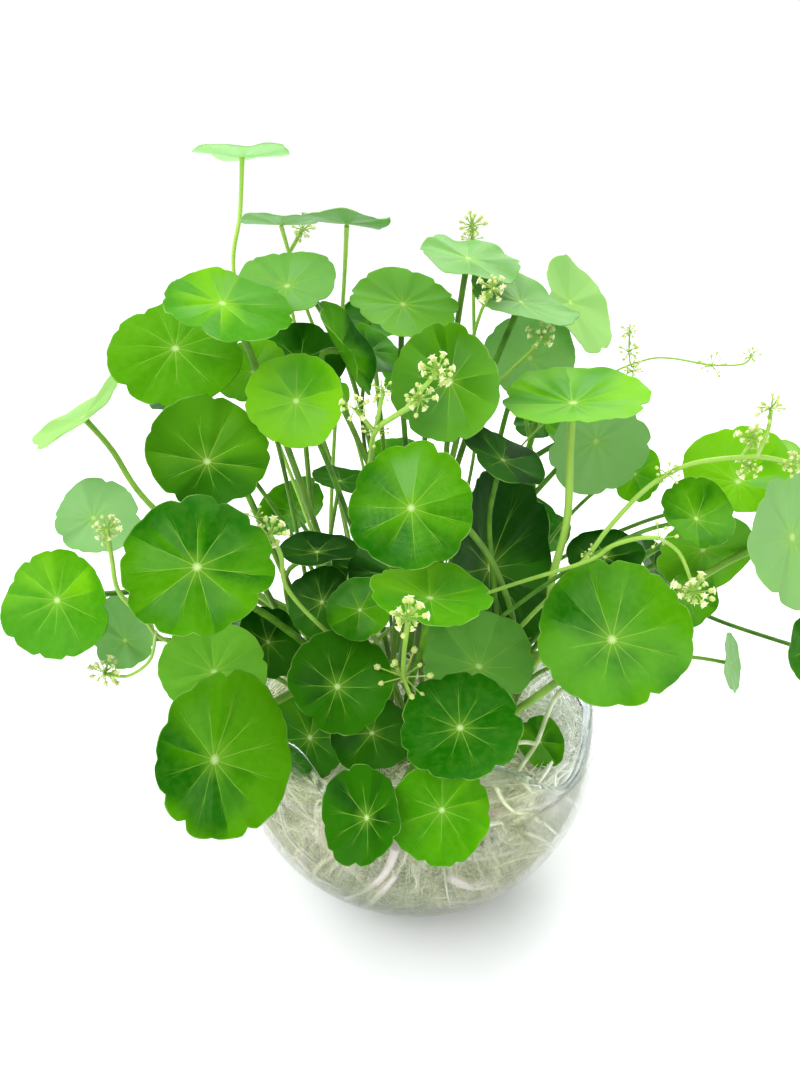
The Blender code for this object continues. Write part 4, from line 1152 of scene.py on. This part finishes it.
def wire_heads(wires, given):
    """A ball of points round each point of the starting mesh, and rays from its middle to some of them."""
    reach, kind = wires.read("reach"), wires.read("kind")
    turn = wires.any_turn(0)
    ball = wires.node("GeometryNodeMeshIcoSphere", sockets={"Radius": 1.0, "Subdivisions": 2})
    balls = wires.real(wires.copies(given("Geometry"), ball, Rotation=turn, Scale=reach))
    sockets = {"Vector": wires.node("GeometryNodeInputNormal")}
    outward = wires.node("FunctionNodeAlignRotationToVector", {"axis": "Z"}, sockets)
    far = wires.chance(given("Shortest Ray"), given("Longest Ray"), RAY_SEED)
    balls = wires.store(balls, "far", far)
    far = wires.read("far")
    luck = wires.chance(0.0, 1.0, LUCK_SEED)
    everything = []
    for number, head in enumerate(BEARS):
        right_kind = (kind - number).call("ABSOLUTE").call("LESS_THAN", 0.5)
        for bears, least, most in RAY_SHARE[head]:
            chosen = right_kind * luck.call("GREATER_THAN", least) * luck.call("LESS_THAN", most)
            rays = wires.copies(balls, wire_ray(wires, bears), Selection=chosen, Rotation=outward,
                                Scale=reach * far)
            inward = wires.xyz(0.0, 0.0, (far - 1) / far)
            sockets = {"Instances": rays, "Translation": inward, "Local Space": True}
            everything.append(wires.node("GeometryNodeTranslateInstances", sockets=sockets))
    return wires.join(*everything)


head_tree = recipe("flower heads", {"Shortest Ray": 0.60, "Longest Ray": 1.20}, wire_heads)

# %% The finish of the florets
# For each part: the two colours that its flecks run between
FLORET_COLOURS = {
    "green": ((0.18, 0.38, 0.03), (0.34, 0.52, 0.07)),
    "bud": ((0.46, 0.58, 0.12), (0.60, 0.68, 0.24)),
    "cream": ((0.74, 0.78, 0.40), (0.90, 0.91, 0.66))}
FLECK_WAVES = 900
GREEN_TO_BUD, BUD_TO_CREAM = (0.2, 0.5), (0.65, 0.9)


def flower_finish():
    finish = Finish("floret", Roughness=0.5)
    petal = finish.attribute("petal")
    fleck = finish.noise(finish.place(), FLECK_WAVES)
    green, bud, cream = (finish.mix(fleck, *pair) for pair in FLORET_COLOURS.values())
    colour = finish.mix(petal.between(*GREEN_TO_BUD), green, bud)
    finish.set(Base_Color=finish.mix(petal.between(*BUD_TO_CREAM), colour, cream))
    finish.bump(fleck, 0.2, 0.1 * MM)
    return finish.material


floret_cream = flower_finish()
print("floret colours:", ", ".join(FLORET_COLOURS))

# %% Finding a packed stem
FOOT_BAND = 0.3 * MM
STEM_SIDES = 4
DEPTH_STEPS = range(-30, 31, 2)


def tube_middles(node):
    """The middles of the four-sided rings up a packed stem, from its foot."""
    work = welded(node)
    foot = min(vertex.co.z for vertex in work.verts)
    level = [vertex for vertex in work.verts if vertex.co.z < foot + FOOT_BAND]
    passed, middles = set(level), []
    while len(level) == STEM_SIDES:
        middles.append(np.mean([np.array(vertex.co) for vertex in level], axis=0))
        above = next_points(level, passed)
        passed |= above
        level = list(above)
    work.free()
    return np.array(middles)


def depth_step(places, middles):
    """How far behind its picture place (mm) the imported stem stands, measured at the lowest place."""
    across, down, y = places[-1]

    def gap(step):
        return np.linalg.norm(middles - seen_at(across, down, y + step), axis=1).min()

    return min(DEPTH_STEPS, key=gap)


# %% Growing the flower stalks
FLOWER_THICK = 0.75 * MM
FORK_THIN = 0.8
THIN_STEMS = {"flower_stalk_05": 0.6, "flower_stalk_02": 1.2, "flower_stalk_03": 1.15}
# How much painted sunlight pales the flower stems
STEM_SUNLIGHT = 0.70
STEM_UP = 0.9


def grow_flowers(node):
    shape, middles = FLOWER_STEMS[node], tube_middles(node)
    step = depth_step(shape["stem"], middles)

    def seen(places):
        return [seen_at(across, down, y + step) for across, down, y, *_ in places]

    upper = seen(shape["stem"])[::-1]
    joint = int(np.linalg.norm(middles - upper[0], axis=1).argmin())
    lines = [np.vstack([middles[:joint], upper])] + [np.array(seen(fork)) for fork in shape["forks"]]
    thick = FLOWER_THICK * THIN_STEMS.get(node, 1)
    thicks = [np.full(len(line), thick * (FORK_THIN if i else 1)) for i, line in enumerate(lines)]
    ups = [np.linspace(0, STEM_UP, len(line)) for line in lines]
    start = polyline("stem lines", lines, up=ups, thick=thicks, shade=STEM_SUNLIGHT)
    stems = grow(stalk_tree, start, Material=stalk_green, Step=2 * MM)
    heads = shape["heads"]
    start = polyline("head places", [[place] for place in seen(heads)],
                     kind=[[float(BEARS.index(bears))] for *_, bears in heads],
                     reach=[[radius * MM] for *_, radius, _ in heads])
    umbels = grow(head_tree, start, Material=floret_cream)
    put_on_plant(f"{node}_grown", [stems, umbels], slot_of[node], node)
    return step


steps = {node: grow_flowers(node) for node in FLOWER_STEMS}
print("flower stems, and how far each stands behind its picture place (mm):", steps)

# %% [markdown]
# ## The bowl and its water
#
# The bowl was blown as a sphere and its lip pulled into six waves, and the water takes the bowl's own shape.
# Both are turned bodies, so one Geometry Nodes tree turns a grid round the upright axis along a profile, and
# then waves everything above the water line. The water reaches a hair into the glass, so that no film of air
# is left between them.

# %% The measures of the bowl
BOWL_RADIUS = 75 * MM
BOWL_MIDDLE = 72 * MM
GLASS = 3.0 * MM
GLASS_FLOOR = 5.0 * MM
LIP_WAVES = 6
LIP_DIP = 79.5 * MM
LIP_CREST = 99 * MM
FIRST_CREST = math.radians(50)
WAVE_STARTS = math.radians(92)
WATER_LEVEL = 74 * MM


def up_the_sphere(height, radius=BOWL_RADIUS):
    """The angle at the bowl's middle, from straight down, at which a sphere reaches this height."""
    return math.acos((BOWL_MIDDLE - height) / radius)


def sphere_profile(radius, low, high, count):
    """Points up a sphere about the bowl's middle, between two such angles."""
    angles = np.linspace(low, high, count)
    return [(radius * math.sin(a), BOWL_MIDDLE - radius * math.cos(a)) for a in angles]


LIP_ANGLE = (up_the_sphere(LIP_DIP) + up_the_sphere(LIP_CREST)) / 2
LIP_SWING = (up_the_sphere(LIP_CREST) - up_the_sphere(LIP_DIP)) / 2
print("the lip swings", round(math.degrees(LIP_SWING), 1), "degrees up and down the sphere")

# %% The turning tree
def wire_lathe(wires, given):
    """A grid turned round the upright axis: rows follow the profile's points, columns go round."""
    sockets = {"Size X": 1.0, "Size Y": 1.0, "Vertices X": given("Columns"), "Vertices Y": given("Rows")}
    grid = wires.node("GeometryNodeMeshGrid", sockets=sockets)
    flat = wires.apart(wires.node("GeometryNodeInputPosition"))
    bearing = (flat + 0.5) * TURN
    row = ((flat.other("Y") + 0.5) * (given("Rows") - 1)).call("ROUND")
    grid = wires.store(grid, "row", row)
    sockets = {"Geometry": given("Geometry"), "Value": wires.node("GeometryNodeInputPosition"), "Index": row}
    profile = wires.apart(wires.node("GeometryNodeSampleIndex", {"data_type": "FLOAT_VECTOR"}, sockets))
    rise = profile.other("Z") - BOWL_MIDDLE
    reach = (profile * profile + rise * rise).call("SQRT")
    angle = profile.call("ARCTAN2", rise * -1)
    share = ((angle - WAVE_STARTS) / (LIP_ANGLE - WAVE_STARTS)).call("MAXIMUM", 0.0)
    swing = ((bearing - FIRST_CREST) * LIP_WAVES).call("COSINE")
    angle = angle + share * swing * given("Wave")
    out = reach * angle.call("SINE")
    up = BOWL_MIDDLE - reach * angle.call("COSINE")
    place = wires.xyz(out * bearing.call("COSINE"), out * bearing.call("SINE"), up)
    sockets = {"Geometry": wires.moved(grid, Position=place), "Distance": WELD}
    return wires.smooth(wires.node("GeometryNodeMergeByDistance", sockets=sockets))


lathe_tree = recipe("turned body", {"Columns": 181, "Rows": 10, "Wave": 0.0}, wire_lathe)


def turned(name, profile, material, **more):
    """Turn a profile of (radius, height) points, which runs up the outside."""
    line = polyline(name, [np.array([(r, 0, z) for r, z in profile])])
    return grow(lathe_tree, line, Material=material, Rows=len(profile), **more)


# %% The glass of the bowl
# The rows of the grid: over the foot, up one side, and over the lip
FOOT_ROWS, SIDE_ROWS, LIP_ROWS = 5, 60, 15
LIP_ROW = FOOT_ROWS + SIDE_ROWS
# The lip is greyer and less clear than the sides, and fades into them over these rows
LIP_FADE = (2, 5)
GLASS_TINT = (0.98, 0.995, 0.99)
LIP_TINT = (0.58, 0.70, 0.71)
GLASS_ALPHA, LIP_ALPHA = 0.6, 0.3


def glass_finish():
    finish = Finish("bowl glass", Roughness=0.0, IOR=1.15, Transmission_Weight=1.0)
    clear = finish.mix(finish.noise(finish.place(), 12), GLASS_TINT, WHITE)
    row = finish.attribute("row")
    starts = row.between(LIP_ROW + LIP_FADE[0], LIP_ROW + LIP_FADE[1])
    ends = row.between(LIP_ROW + LIP_ROWS - LIP_FADE[1], LIP_ROW + LIP_ROWS - LIP_FADE[0])
    lip = starts * (1 - ends)
    finish.set(Base_Color=finish.mix(lip, clear, LIP_TINT), Alpha=GLASS_ALPHA + lip * LIP_ALPHA)
    return finish.material


bowl_glass = glass_finish()
print("glass:", bowl_glass.name, "with the lip on rows", LIP_ROW, "to", LIP_ROW + LIP_ROWS)

# %% The bowl
# The foot is flat and its edge rounded: the flat stops short by FOOT_SHORT, and the side starts a little on.
FOOT_SHORT = 1 * MM
FOOT_BEND = 0.02
# The lip is a bead of radius LIP_BEAD. The sides stop LIP_BEND short of it, an angle at the bowl's middle.
# The bead turns between BEAD_TURNS, in half turns, and BEAD_FLAT presses it a little from top to bottom.
LIP_BEAD = 1.8 * MM
LIP_BEND = 0.06
BEAD_TURNS = (-0.45, 1.45)
BEAD_FLAT = 0.8
FLOOR_SHARE = 0.9


def bowl_profile():
    """From the middle of the foot, up the outside, over a thick round lip and down the inside."""
    inner = BOWL_RADIUS - GLASS
    foot = up_the_sphere(0)
    outer = [(r, 0) for r in np.linspace(0, BOWL_RADIUS * math.sin(foot) - FOOT_SHORT, FOOT_ROWS)]
    outer += sphere_profile(BOWL_RADIUS, foot + FOOT_BEND, LIP_ANGLE - LIP_BEND, SIDE_ROWS)
    lip = []
    for turn in np.linspace(BEAD_TURNS[0] * math.pi, BEAD_TURNS[1] * math.pi, LIP_ROWS):
        angle = LIP_ANGLE + LIP_BEAD / BOWL_RADIUS * BEAD_FLAT * math.sin(turn)
        reach = BOWL_RADIUS - GLASS / 2 + LIP_BEAD * math.cos(turn)
        lip.append((reach * math.sin(angle), BOWL_MIDDLE - reach * math.cos(angle)))
    inside = sphere_profile(inner, LIP_ANGLE - LIP_BEND, up_the_sphere(GLASS_FLOOR, inner), SIDE_ROWS)
    floor = [(r, GLASS_FLOOR) for r in np.linspace(inside[-1][0] * FLOOR_SHARE, 0, FOOT_ROWS)]
    return outer + lip + inside + floor


bowl = turned("bowl", bowl_profile(), bowl_glass, Wave=LIP_SWING)
put_on_plant("bowl_blown", [bowl], "glass", "bowl")
print("bowl faces:", len(bowl.polygons))

# %% The water
INTO_GLASS = 0.3 * MM
WATER_TINT = (0.985, 0.995, 0.98)
BOTTOM_SHARE = 0.98
# The water climbs the glass by MENISCUS, in a curve of this width in mm, with points this far from the rim
MENISCUS = 0.9 * MM
MENISCUS_WIDE = 1.2
MENISCUS_POINTS = (0.6, 1.2, 2, 3, 5, 9)


def water_finish():
    finish = Finish("pond water", Roughness=0.0, IOR=1.25, Transmission_Weight=1.0)
    finish.set(Base_Color=finish.mix(finish.noise(finish.place(), 20), WATER_TINT, WHITE))
    return finish.material


def water_profile():
    """From the middle of the bottom, up along the glass, and in over the surface."""
    radius, floor = BOWL_RADIUS - GLASS + INTO_GLASS, GLASS_FLOOR - INTO_GLASS
    low, high = up_the_sphere(floor, radius), up_the_sphere(WATER_LEVEL + MENISCUS, radius)
    bottom = [(r, floor) for r in np.linspace(0, radius * math.sin(low) * BOTTOM_SHARE, 4)]
    wall = sphere_profile(radius, low, high, 50)
    rim = wall[-1][0]
    top = [(rim - away * MM, WATER_LEVEL + MENISCUS * math.exp(-away / MENISCUS_WIDE))
           for away in MENISCUS_POINTS]
    return bottom + wall + top + [(rim / 2, WATER_LEVEL), (0, WATER_LEVEL)]


pond = turned("water", water_profile(), water_finish())
put_on_plant("water_filled", [pond], "water", "water")
print("water faces:", len(pond.polygons))

# %% [markdown]
# ## The roots
#
# Under the crown hangs a dense, pale tangle that fills the water: thousands of thin threads, cream, olive
# and beige, and a few thick old runners. Geometry Nodes lays short lines at random through the water, lets
# noise bend each one its own way, and presses back whatever would go through the glass. A lumpy body in the
# middle closes the view through them.

# %% Laying, bending and pressing the threads
ROOT_MOST = BOWL_RADIUS - GLASS - 0.6 * MM
ROOT_FLOOR = GLASS_FLOOR + 1.2 * MM
# Each thread stops at a height of its own between these two
ROOT_LOW_TOP, ROOT_HIGHEST = 76 * MM, 84 * MM
WALL_CHANCE = (0.90, 1.0)
BALL_MIDDLE = (0.0, 0.0, BOWL_MIDDLE)
THREAD_SEEDS = {"place": 0, "depth": 5, "turn": 6, "length": 9, "wall": 21, "top": 22, "size": 33,
                "shade": 44}


def scattered(wires, given, luck):
    """Straight lines with joints, at random places in the bowl and turned at random."""
    way = wires.xyz(*(wires.chance(-1.0, 1.0, luck + (THREAD_SEEDS["place"] + axis)) for axis in range(3)))
    depth = wires.chance(given("Inner"), 1.0, luck + THREAD_SEEDS["depth"]) * ROOT_MOST
    start = way.vector("NORMALIZE").scaled(depth).vector("ADD", BALL_MIDDLE)
    spots = wires.node("GeometryNodePoints", sockets={"Count": given("Threads"), "Position": start})
    sockets = {"Start": (-0.5, 0, 0), "End": (0.5, 0, 0)}
    line = wires.node("GeometryNodeCurvePrimitiveLine", sockets=sockets)
    turn = wires.any_turn(luck + THREAD_SEEDS["turn"])
    length = wires.chance(given("Shortest"), given("Longest"), THREAD_SEEDS["length"])
    lines = wires.real(wires.copies(spots, line, Rotation=turn, Scale=length))
    sockets = {"Curve": lines, "Count": given("Joints")}
    return wires.node("GeometryNodeResampleCurve", {"mode": "COUNT"}, sockets)


def shaken(wires, lines, place, scale, turn, far):
    """Lines with their points pushed by noise, by up to half of far each way."""
    push = wires.noise(place, scale, detail=1.0, turn=turn, out=1)
    return wires.moved(lines, Offset=push.vector("SUBTRACT", (0.5, 0.5, 0.5)).scaled(far))


def pressed(wires, lines, place, own):
    """Lines pressed back inside the glass, over its floor and under a height of their own."""
    out = place.vector("SUBTRACT", BALL_MIDDLE)
    far = out.vector("LENGTH", out=1)
    most = wires.chance(*WALL_CHANCE, THREAD_SEEDS["wall"], own) * ROOT_MOST
    inside = out.scaled((most / far).call("MINIMUM", 1.0)).vector("ADD", BALL_MIDDLE)
    parts = wires.apart(inside)
    over = wires.chance(0.0, 1.0, THREAD_SEEDS["top"], own) ** 2
    top = over * (ROOT_HIGHEST - ROOT_LOW_TOP) + ROOT_LOW_TOP
    height = parts.other("Z").call("MAXIMUM", ROOT_FLOOR).call("MINIMUM", top)
    return wires.moved(lines, Position=wires.xyz(parts, parts.other("Y"), height))


# %% The thread tree
LUCK_STEP = 100
# How far apart in the noise two threads lie, so that each bends its own way
BEND_APART, KINK_APART = 0.73, 1.31
TAPER_LEAST = 0.25
THIN_POWER = 3


def wire_threads(wires, given):
    """Lines at random places inside the bowl, bent by noise, pressed inside the glass, and made round."""
    luck = given("Luck") * LUCK_STEP
    lines = scattered(wires, given, luck)
    own = wires.node("GeometryNodeCurveOfPoint")
    place = wires.node("GeometryNodeInputPosition")
    lines = shaken(wires, lines, place, given("Bend Scale"), own * BEND_APART + luck, given("Bend"))
    lines = shaken(wires, lines, place, given("Kink Scale"), own * KINK_APART, given("Kink"))
    lines = pressed(wires, lines, place, own)
    size = wires.chance(0.0, 1.0, THREAD_SEEDS["size"], own)
    along = wires.node("GeometryNodeSplineParameter")
    taper = (along * math.pi).call("SINE").call("MAXIMUM", TAPER_LEAST)
    thick = given("Thin") + (given("Thick") - given("Thin")) * size ** THIN_POWER
    lines = wires.store(lines, "shade", wires.chance(0.0, 1.0, THREAD_SEEDS["shade"], own))
    return wires.tube(lines, given("Sides"), thick * taper)


thread_tree = recipe("root threads", {
    "Threads": 1900, "Joints": 16, "Sides": 3, "Inner": 0.80, "Shortest": 25 * MM, "Longest": 70 * MM,
    "Bend Scale": 22.0, "Bend": 60 * MM, "Kink Scale": 110.0, "Kink": 7 * MM,
    "Thin": 0.18 * MM, "Thick": 0.75 * MM, "Luck": 0}, wire_threads)

# %% Light and dark in the tangle
# Painted shade makes the tangle darker between these heights and below, and painted light washes it out
# towards the right and the crown.
DEEP_HEIGHTS, DEEP_WAVES, DEEP_LEVELS, DEEP_SHARE, DEEP_TURN = (0.010, 0.050), 26, (0.35, 0.60), 0.7, 2.0
SIDE_ACROSS, SIDE_HEIGHTS, SIDE_SHARE = (0.034, 0.058), (0.030, 0.062), 0.85
LOW_SHADE_COLOUR = (0.27, 0.34, 0.20)
SIDE_COLOUR = (0.93, 0.96, 0.90)


def low_shade(finish, place):
    """Painted shade: the tangle is darker low in the bowl, in patches."""
    depth = 1 - finish.apart(place).other("Z").between(*DEEP_HEIGHTS)
    return depth * finish.noise(place, DEEP_WAVES, turn=DEEP_TURN).between(*DEEP_LEVELS) * DEEP_SHARE


def side_light(finish, place):
    """The light from the right washes out the side and the crown of the tangle there."""
    apart = finish.apart(place)
    return apart.between(*SIDE_ACROSS) * apart.other("Z").between(*SIDE_HEIGHTS) * SIDE_SHARE


def shaded(finish, place, colour):
    colour = finish.mix(low_shade(finish, place), colour, LOW_SHADE_COLOUR)
    return finish.mix(side_light(finish, place), colour, SIDE_COLOUR)


# %% The finish of the roots
# Wet roots pass light on to each other, more often than a picture is worked out for. A faint glow stands
# for it.
ROOT_GLOW = 0.07
FLECK_ROOT_WAVES, SHADE_PART, FLECK_PART, ROOT_LEVELS = 240, 0.7, 0.5, (0.2, 0.8)
MOSS_WAVES, MOSS_LEVELS, MOSS_SHARE = 32, (0.50, 0.66), 0.55
MOSS_COLOUR = (0.36, 0.46, 0.18)
SPOT_WAVES, SPOT_LEVELS, SPOT_SHARE, SPOT_TURN = 150, (0.68, 0.74), 0.6, 4.0
SPOT_COLOUR = (0.16, 0.10, 0.04)


def root_finish(name, dark, pale):
    finish = Finish(name, Roughness=0.6, Specular_IOR_Level=0.2, Emission_Strength=ROOT_GLOW)
    shade, place = finish.attribute("shade"), finish.place()
    fleck = finish.noise(place, FLECK_ROOT_WAVES, detail=3.0, twist=2.5)
    mixed = (shade * SHADE_PART + fleck * FLECK_PART).between(*ROOT_LEVELS)
    moss = finish.noise(place, MOSS_WAVES).between(*MOSS_LEVELS) * MOSS_SHARE
    colour = finish.mix(moss, finish.mix(mixed, dark, pale), MOSS_COLOUR)
    colour = shaded(finish, place, colour)
    spot = finish.noise(place, SPOT_WAVES, turn=SPOT_TURN).between(*SPOT_LEVELS) * SPOT_SHARE
    colour = finish.mix(spot, colour, SPOT_COLOUR)
    finish.set(Base_Color=colour, Emission_Color=colour)
    finish.bump(fleck, 0.4, 0.3 * MM)
    return finish.material


thread_cream = root_finish("root thread", (0.38, 0.43, 0.15), (0.93, 0.97, 0.76))
strand_white = root_finish("root strand", (0.70, 0.70, 0.44), (0.97, 0.97, 0.84))
loop_olive = root_finish("root loop", (0.42, 0.47, 0.18), (0.80, 0.84, 0.54))
runner_pink = root_finish("old runner", (0.78, 0.60, 0.52), (0.95, 0.88, 0.82))
print("root finishes:", [m.name for m in (thread_cream, strand_white, loop_olive, runner_pink)])

# %% The finish of the inner body
# Each net of lines has its waves per metre, the width of its lines in levels of the noise, and its turn.
NETS = ((45, 0.030, 0.0), (70, 0.035, 3.0), (110, 0.045, 6.0))
LINE_FULL = 0.2
GROUND_WAVES, GROUND_LEVELS = 60, (0.35, 0.65)
GROUND_DARK, GROUND_LIGHT = (0.18, 0.24, 0.07), (0.48, 0.53, 0.26)
NET_COLOUR = (0.90, 0.94, 0.78)


def tangle_finish():
    """The inner body: pale lines of noise crossing each other at three sizes, over an olive ground."""
    finish = Finish("inner tangle", Roughness=0.7, Specular_IOR_Level=0.1, Emission_Strength=ROOT_GLOW)
    place = finish.place()
    lines = 0.0
    for size, width, turn in NETS:
        ridge = (finish.noise(place, size, turn=turn, twist=3.0) - 0.5).call("ABSOLUTE")
        lines = soft_line(ridge, width, LINE_FULL, 1).call("MAXIMUM", lines)
    # The dark of the ground is partly the olive of the roots and partly painted shade for the gaps deep in
    # the tangle.
    ground = finish.noise(place, GROUND_WAVES).between(*GROUND_LEVELS)
    colour = finish.mix(lines, finish.mix(ground, GROUND_DARK, GROUND_LIGHT), NET_COLOUR)
    colour = shaded(finish, place, colour)
    finish.set(Base_Color=colour, Emission_Color=colour)
    finish.bump(lines, 0.8, 1.2 * MM)
    return finish.material


# %% The thick roots that show against the glass
# Each line is seen at these places (across, down) in the picture, just inside the glass.
LOOP_ROOTS = [
    [(496, 786), (502, 800), (514, 811), (530, 812)],
    [(524, 778), (530, 792), (528, 806)],
    [(512, 820), (524, 816), (540, 820), (552, 832)],
    [(552, 790), (566, 802), (562, 822), (545, 836), (522, 846)],
    [(488, 862), (515, 852), (546, 836), (568, 812)],
    [(432, 892), (468, 889), (505, 874), (538, 856)],
    [(330, 892), (372, 904), (430, 908), (484, 894)],
    [(292, 820), (304, 838), (300, 858), (318, 876)],
    [(505, 836), (522, 830), (540, 836), (548, 848)]]
PINK_ROOTS = [
    [(396, 845), (389, 864), (374, 879), (350, 886)],
    [(352, 902), (366, 894), (384, 884), (397, 870)],
    [(302, 848), (320, 866), (346, 880)],
    [(448, 872), (470, 880), (488, 876)]]
LOOP_THICK = 0.7 * MM
PINK_THICK = 1.5 * MM
BEHIND_GLASS = 2.2 * MM
ROOT_TAPER = (1.1, 0.6)


def on_the_glass(across, down):
    """Where the line of sight through a place in the picture meets the water, just inside the glass."""
    ray = seen_at(across, down, 0) - EYE
    ray = ray / np.linalg.norm(ray)
    middle = np.array(BALL_MIDDLE)
    away = EYE - middle
    radius = ROOT_MOST - BEHIND_GLASS
    nearest = away @ ray
    inside = max(nearest ** 2 - away @ away + radius ** 2, 0)
    out = EYE + ray * (-nearest - math.sqrt(inside)) - middle
    return middle + out * min(1, radius / np.linalg.norm(out))


def drawn_roots(places, thick, material):
    lines = [np.array([on_the_glass(*place) for place in line]) for line in places]
    thicks = [thick * np.linspace(*ROOT_TAPER, len(line)) for line in lines]
    start = polyline("drawn roots", lines, up=0.5, thick=thicks, shade=0.9)
    return grow(stalk_tree, start, Material=material, Step=1.5 * MM)


drawn = [drawn_roots(LOOP_ROOTS, LOOP_THICK, loop_olive), drawn_roots(PINK_ROOTS, PINK_THICK, runner_pink)]
print("roots drawn against the glass:", len(LOOP_ROOTS) + len(PINK_ROOTS))

# %% The inner body
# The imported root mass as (radius, height) in mm, of which the body takes a share of the radius.
ROOTS_PROFILE = [(0, 9), (28.5, 11), (48, 24.5), (62, 45), (66, 64), (56, 74.8), (44, 79.7), (0, 79.7)]
CORE_SHARE = 0.90
CORE_STEPS = 8
CORE_LUMP = 2.2 * MM
# Each wave of lumps, in radians per metre along X, Y and Z
LUMP_WAVES = ((310, 0, 90), (0, 270, -140), (120, 0, 410))


def core_profile():
    points = []
    for (r0, z0), (r1, z1) in zip(ROOTS_PROFILE[:-1], ROOTS_PROFILE[1:]):
        for share in np.linspace(0, 1, CORE_STEPS, endpoint=False):
            points.append((r0 + (r1 - r0) * share, z0 + (z1 - z0) * share))
    points.append(ROOTS_PROFILE[-1])
    return [(r * CORE_SHARE * MM, z * MM) for r, z in points]


def lump(mesh):
    """Push the core's points in and out in soft lumps, and leave the flat crown alone."""
    for vertex in mesh.vertices:
        x, y, z = vertex.co
        if z > ROOT_LOW_TOP:
            continue
        wave = sum(math.sin(a * x + b * y + c * z) for a, b, c in LUMP_WAVES)
        vertex.co += vertex.normal * CORE_LUMP * wave / len(LUMP_WAVES)


core = turned("core", core_profile(), tangle_finish(), Columns=97)
lump(core)
print("inner body:", len(core.polygons), "faces")

# %% Growing the roots
OLD_RUNNERS = {"Threads": 16, "Sides": 8, "Joints": 30, "Inner": 0.9, "Luck": 7, "Kink": 4 * MM,
               "Thin": 0.9 * MM, "Thick": 2.0 * MM, "Shortest": 30 * MM, "Longest": 60 * MM}
STRANDS = {"Threads": 560, "Sides": 5, "Joints": 26, "Inner": 0.86, "Luck": 2,
           "Bend_Scale": 15.0, "Bend": 80 * MM, "Kink_Scale": 60.0, "Kink": 8 * MM,
           "Thin": 0.35 * MM, "Thick": 1.5 * MM, "Shortest": 45 * MM, "Longest": 110 * MM}
THREAD_PIECES = 2

empty = bpy.data.meshes.new("no start")
old_runners = grow(thread_tree, empty, Material=runner_pink, **OLD_RUNNERS)
put_on_plant("root_core", [core, old_runners], "roots", "root_mass")
for number in range(THREAD_PIECES):
    threads = grow(thread_tree, empty, Material=thread_cream, Luck=number)
    put_on_plant(f"root_threads_{number + 1}", [threads], "roots", "root_mass")
    print("root threads:", len(threads.polygons), "faces")
strands = grow(thread_tree, empty, Material=strand_white, **STRANDS)
put_on_plant("root_strands", [strands] + drawn, "roots", "root_mass")
print("root strands:", len(strands.polygons), "faces")
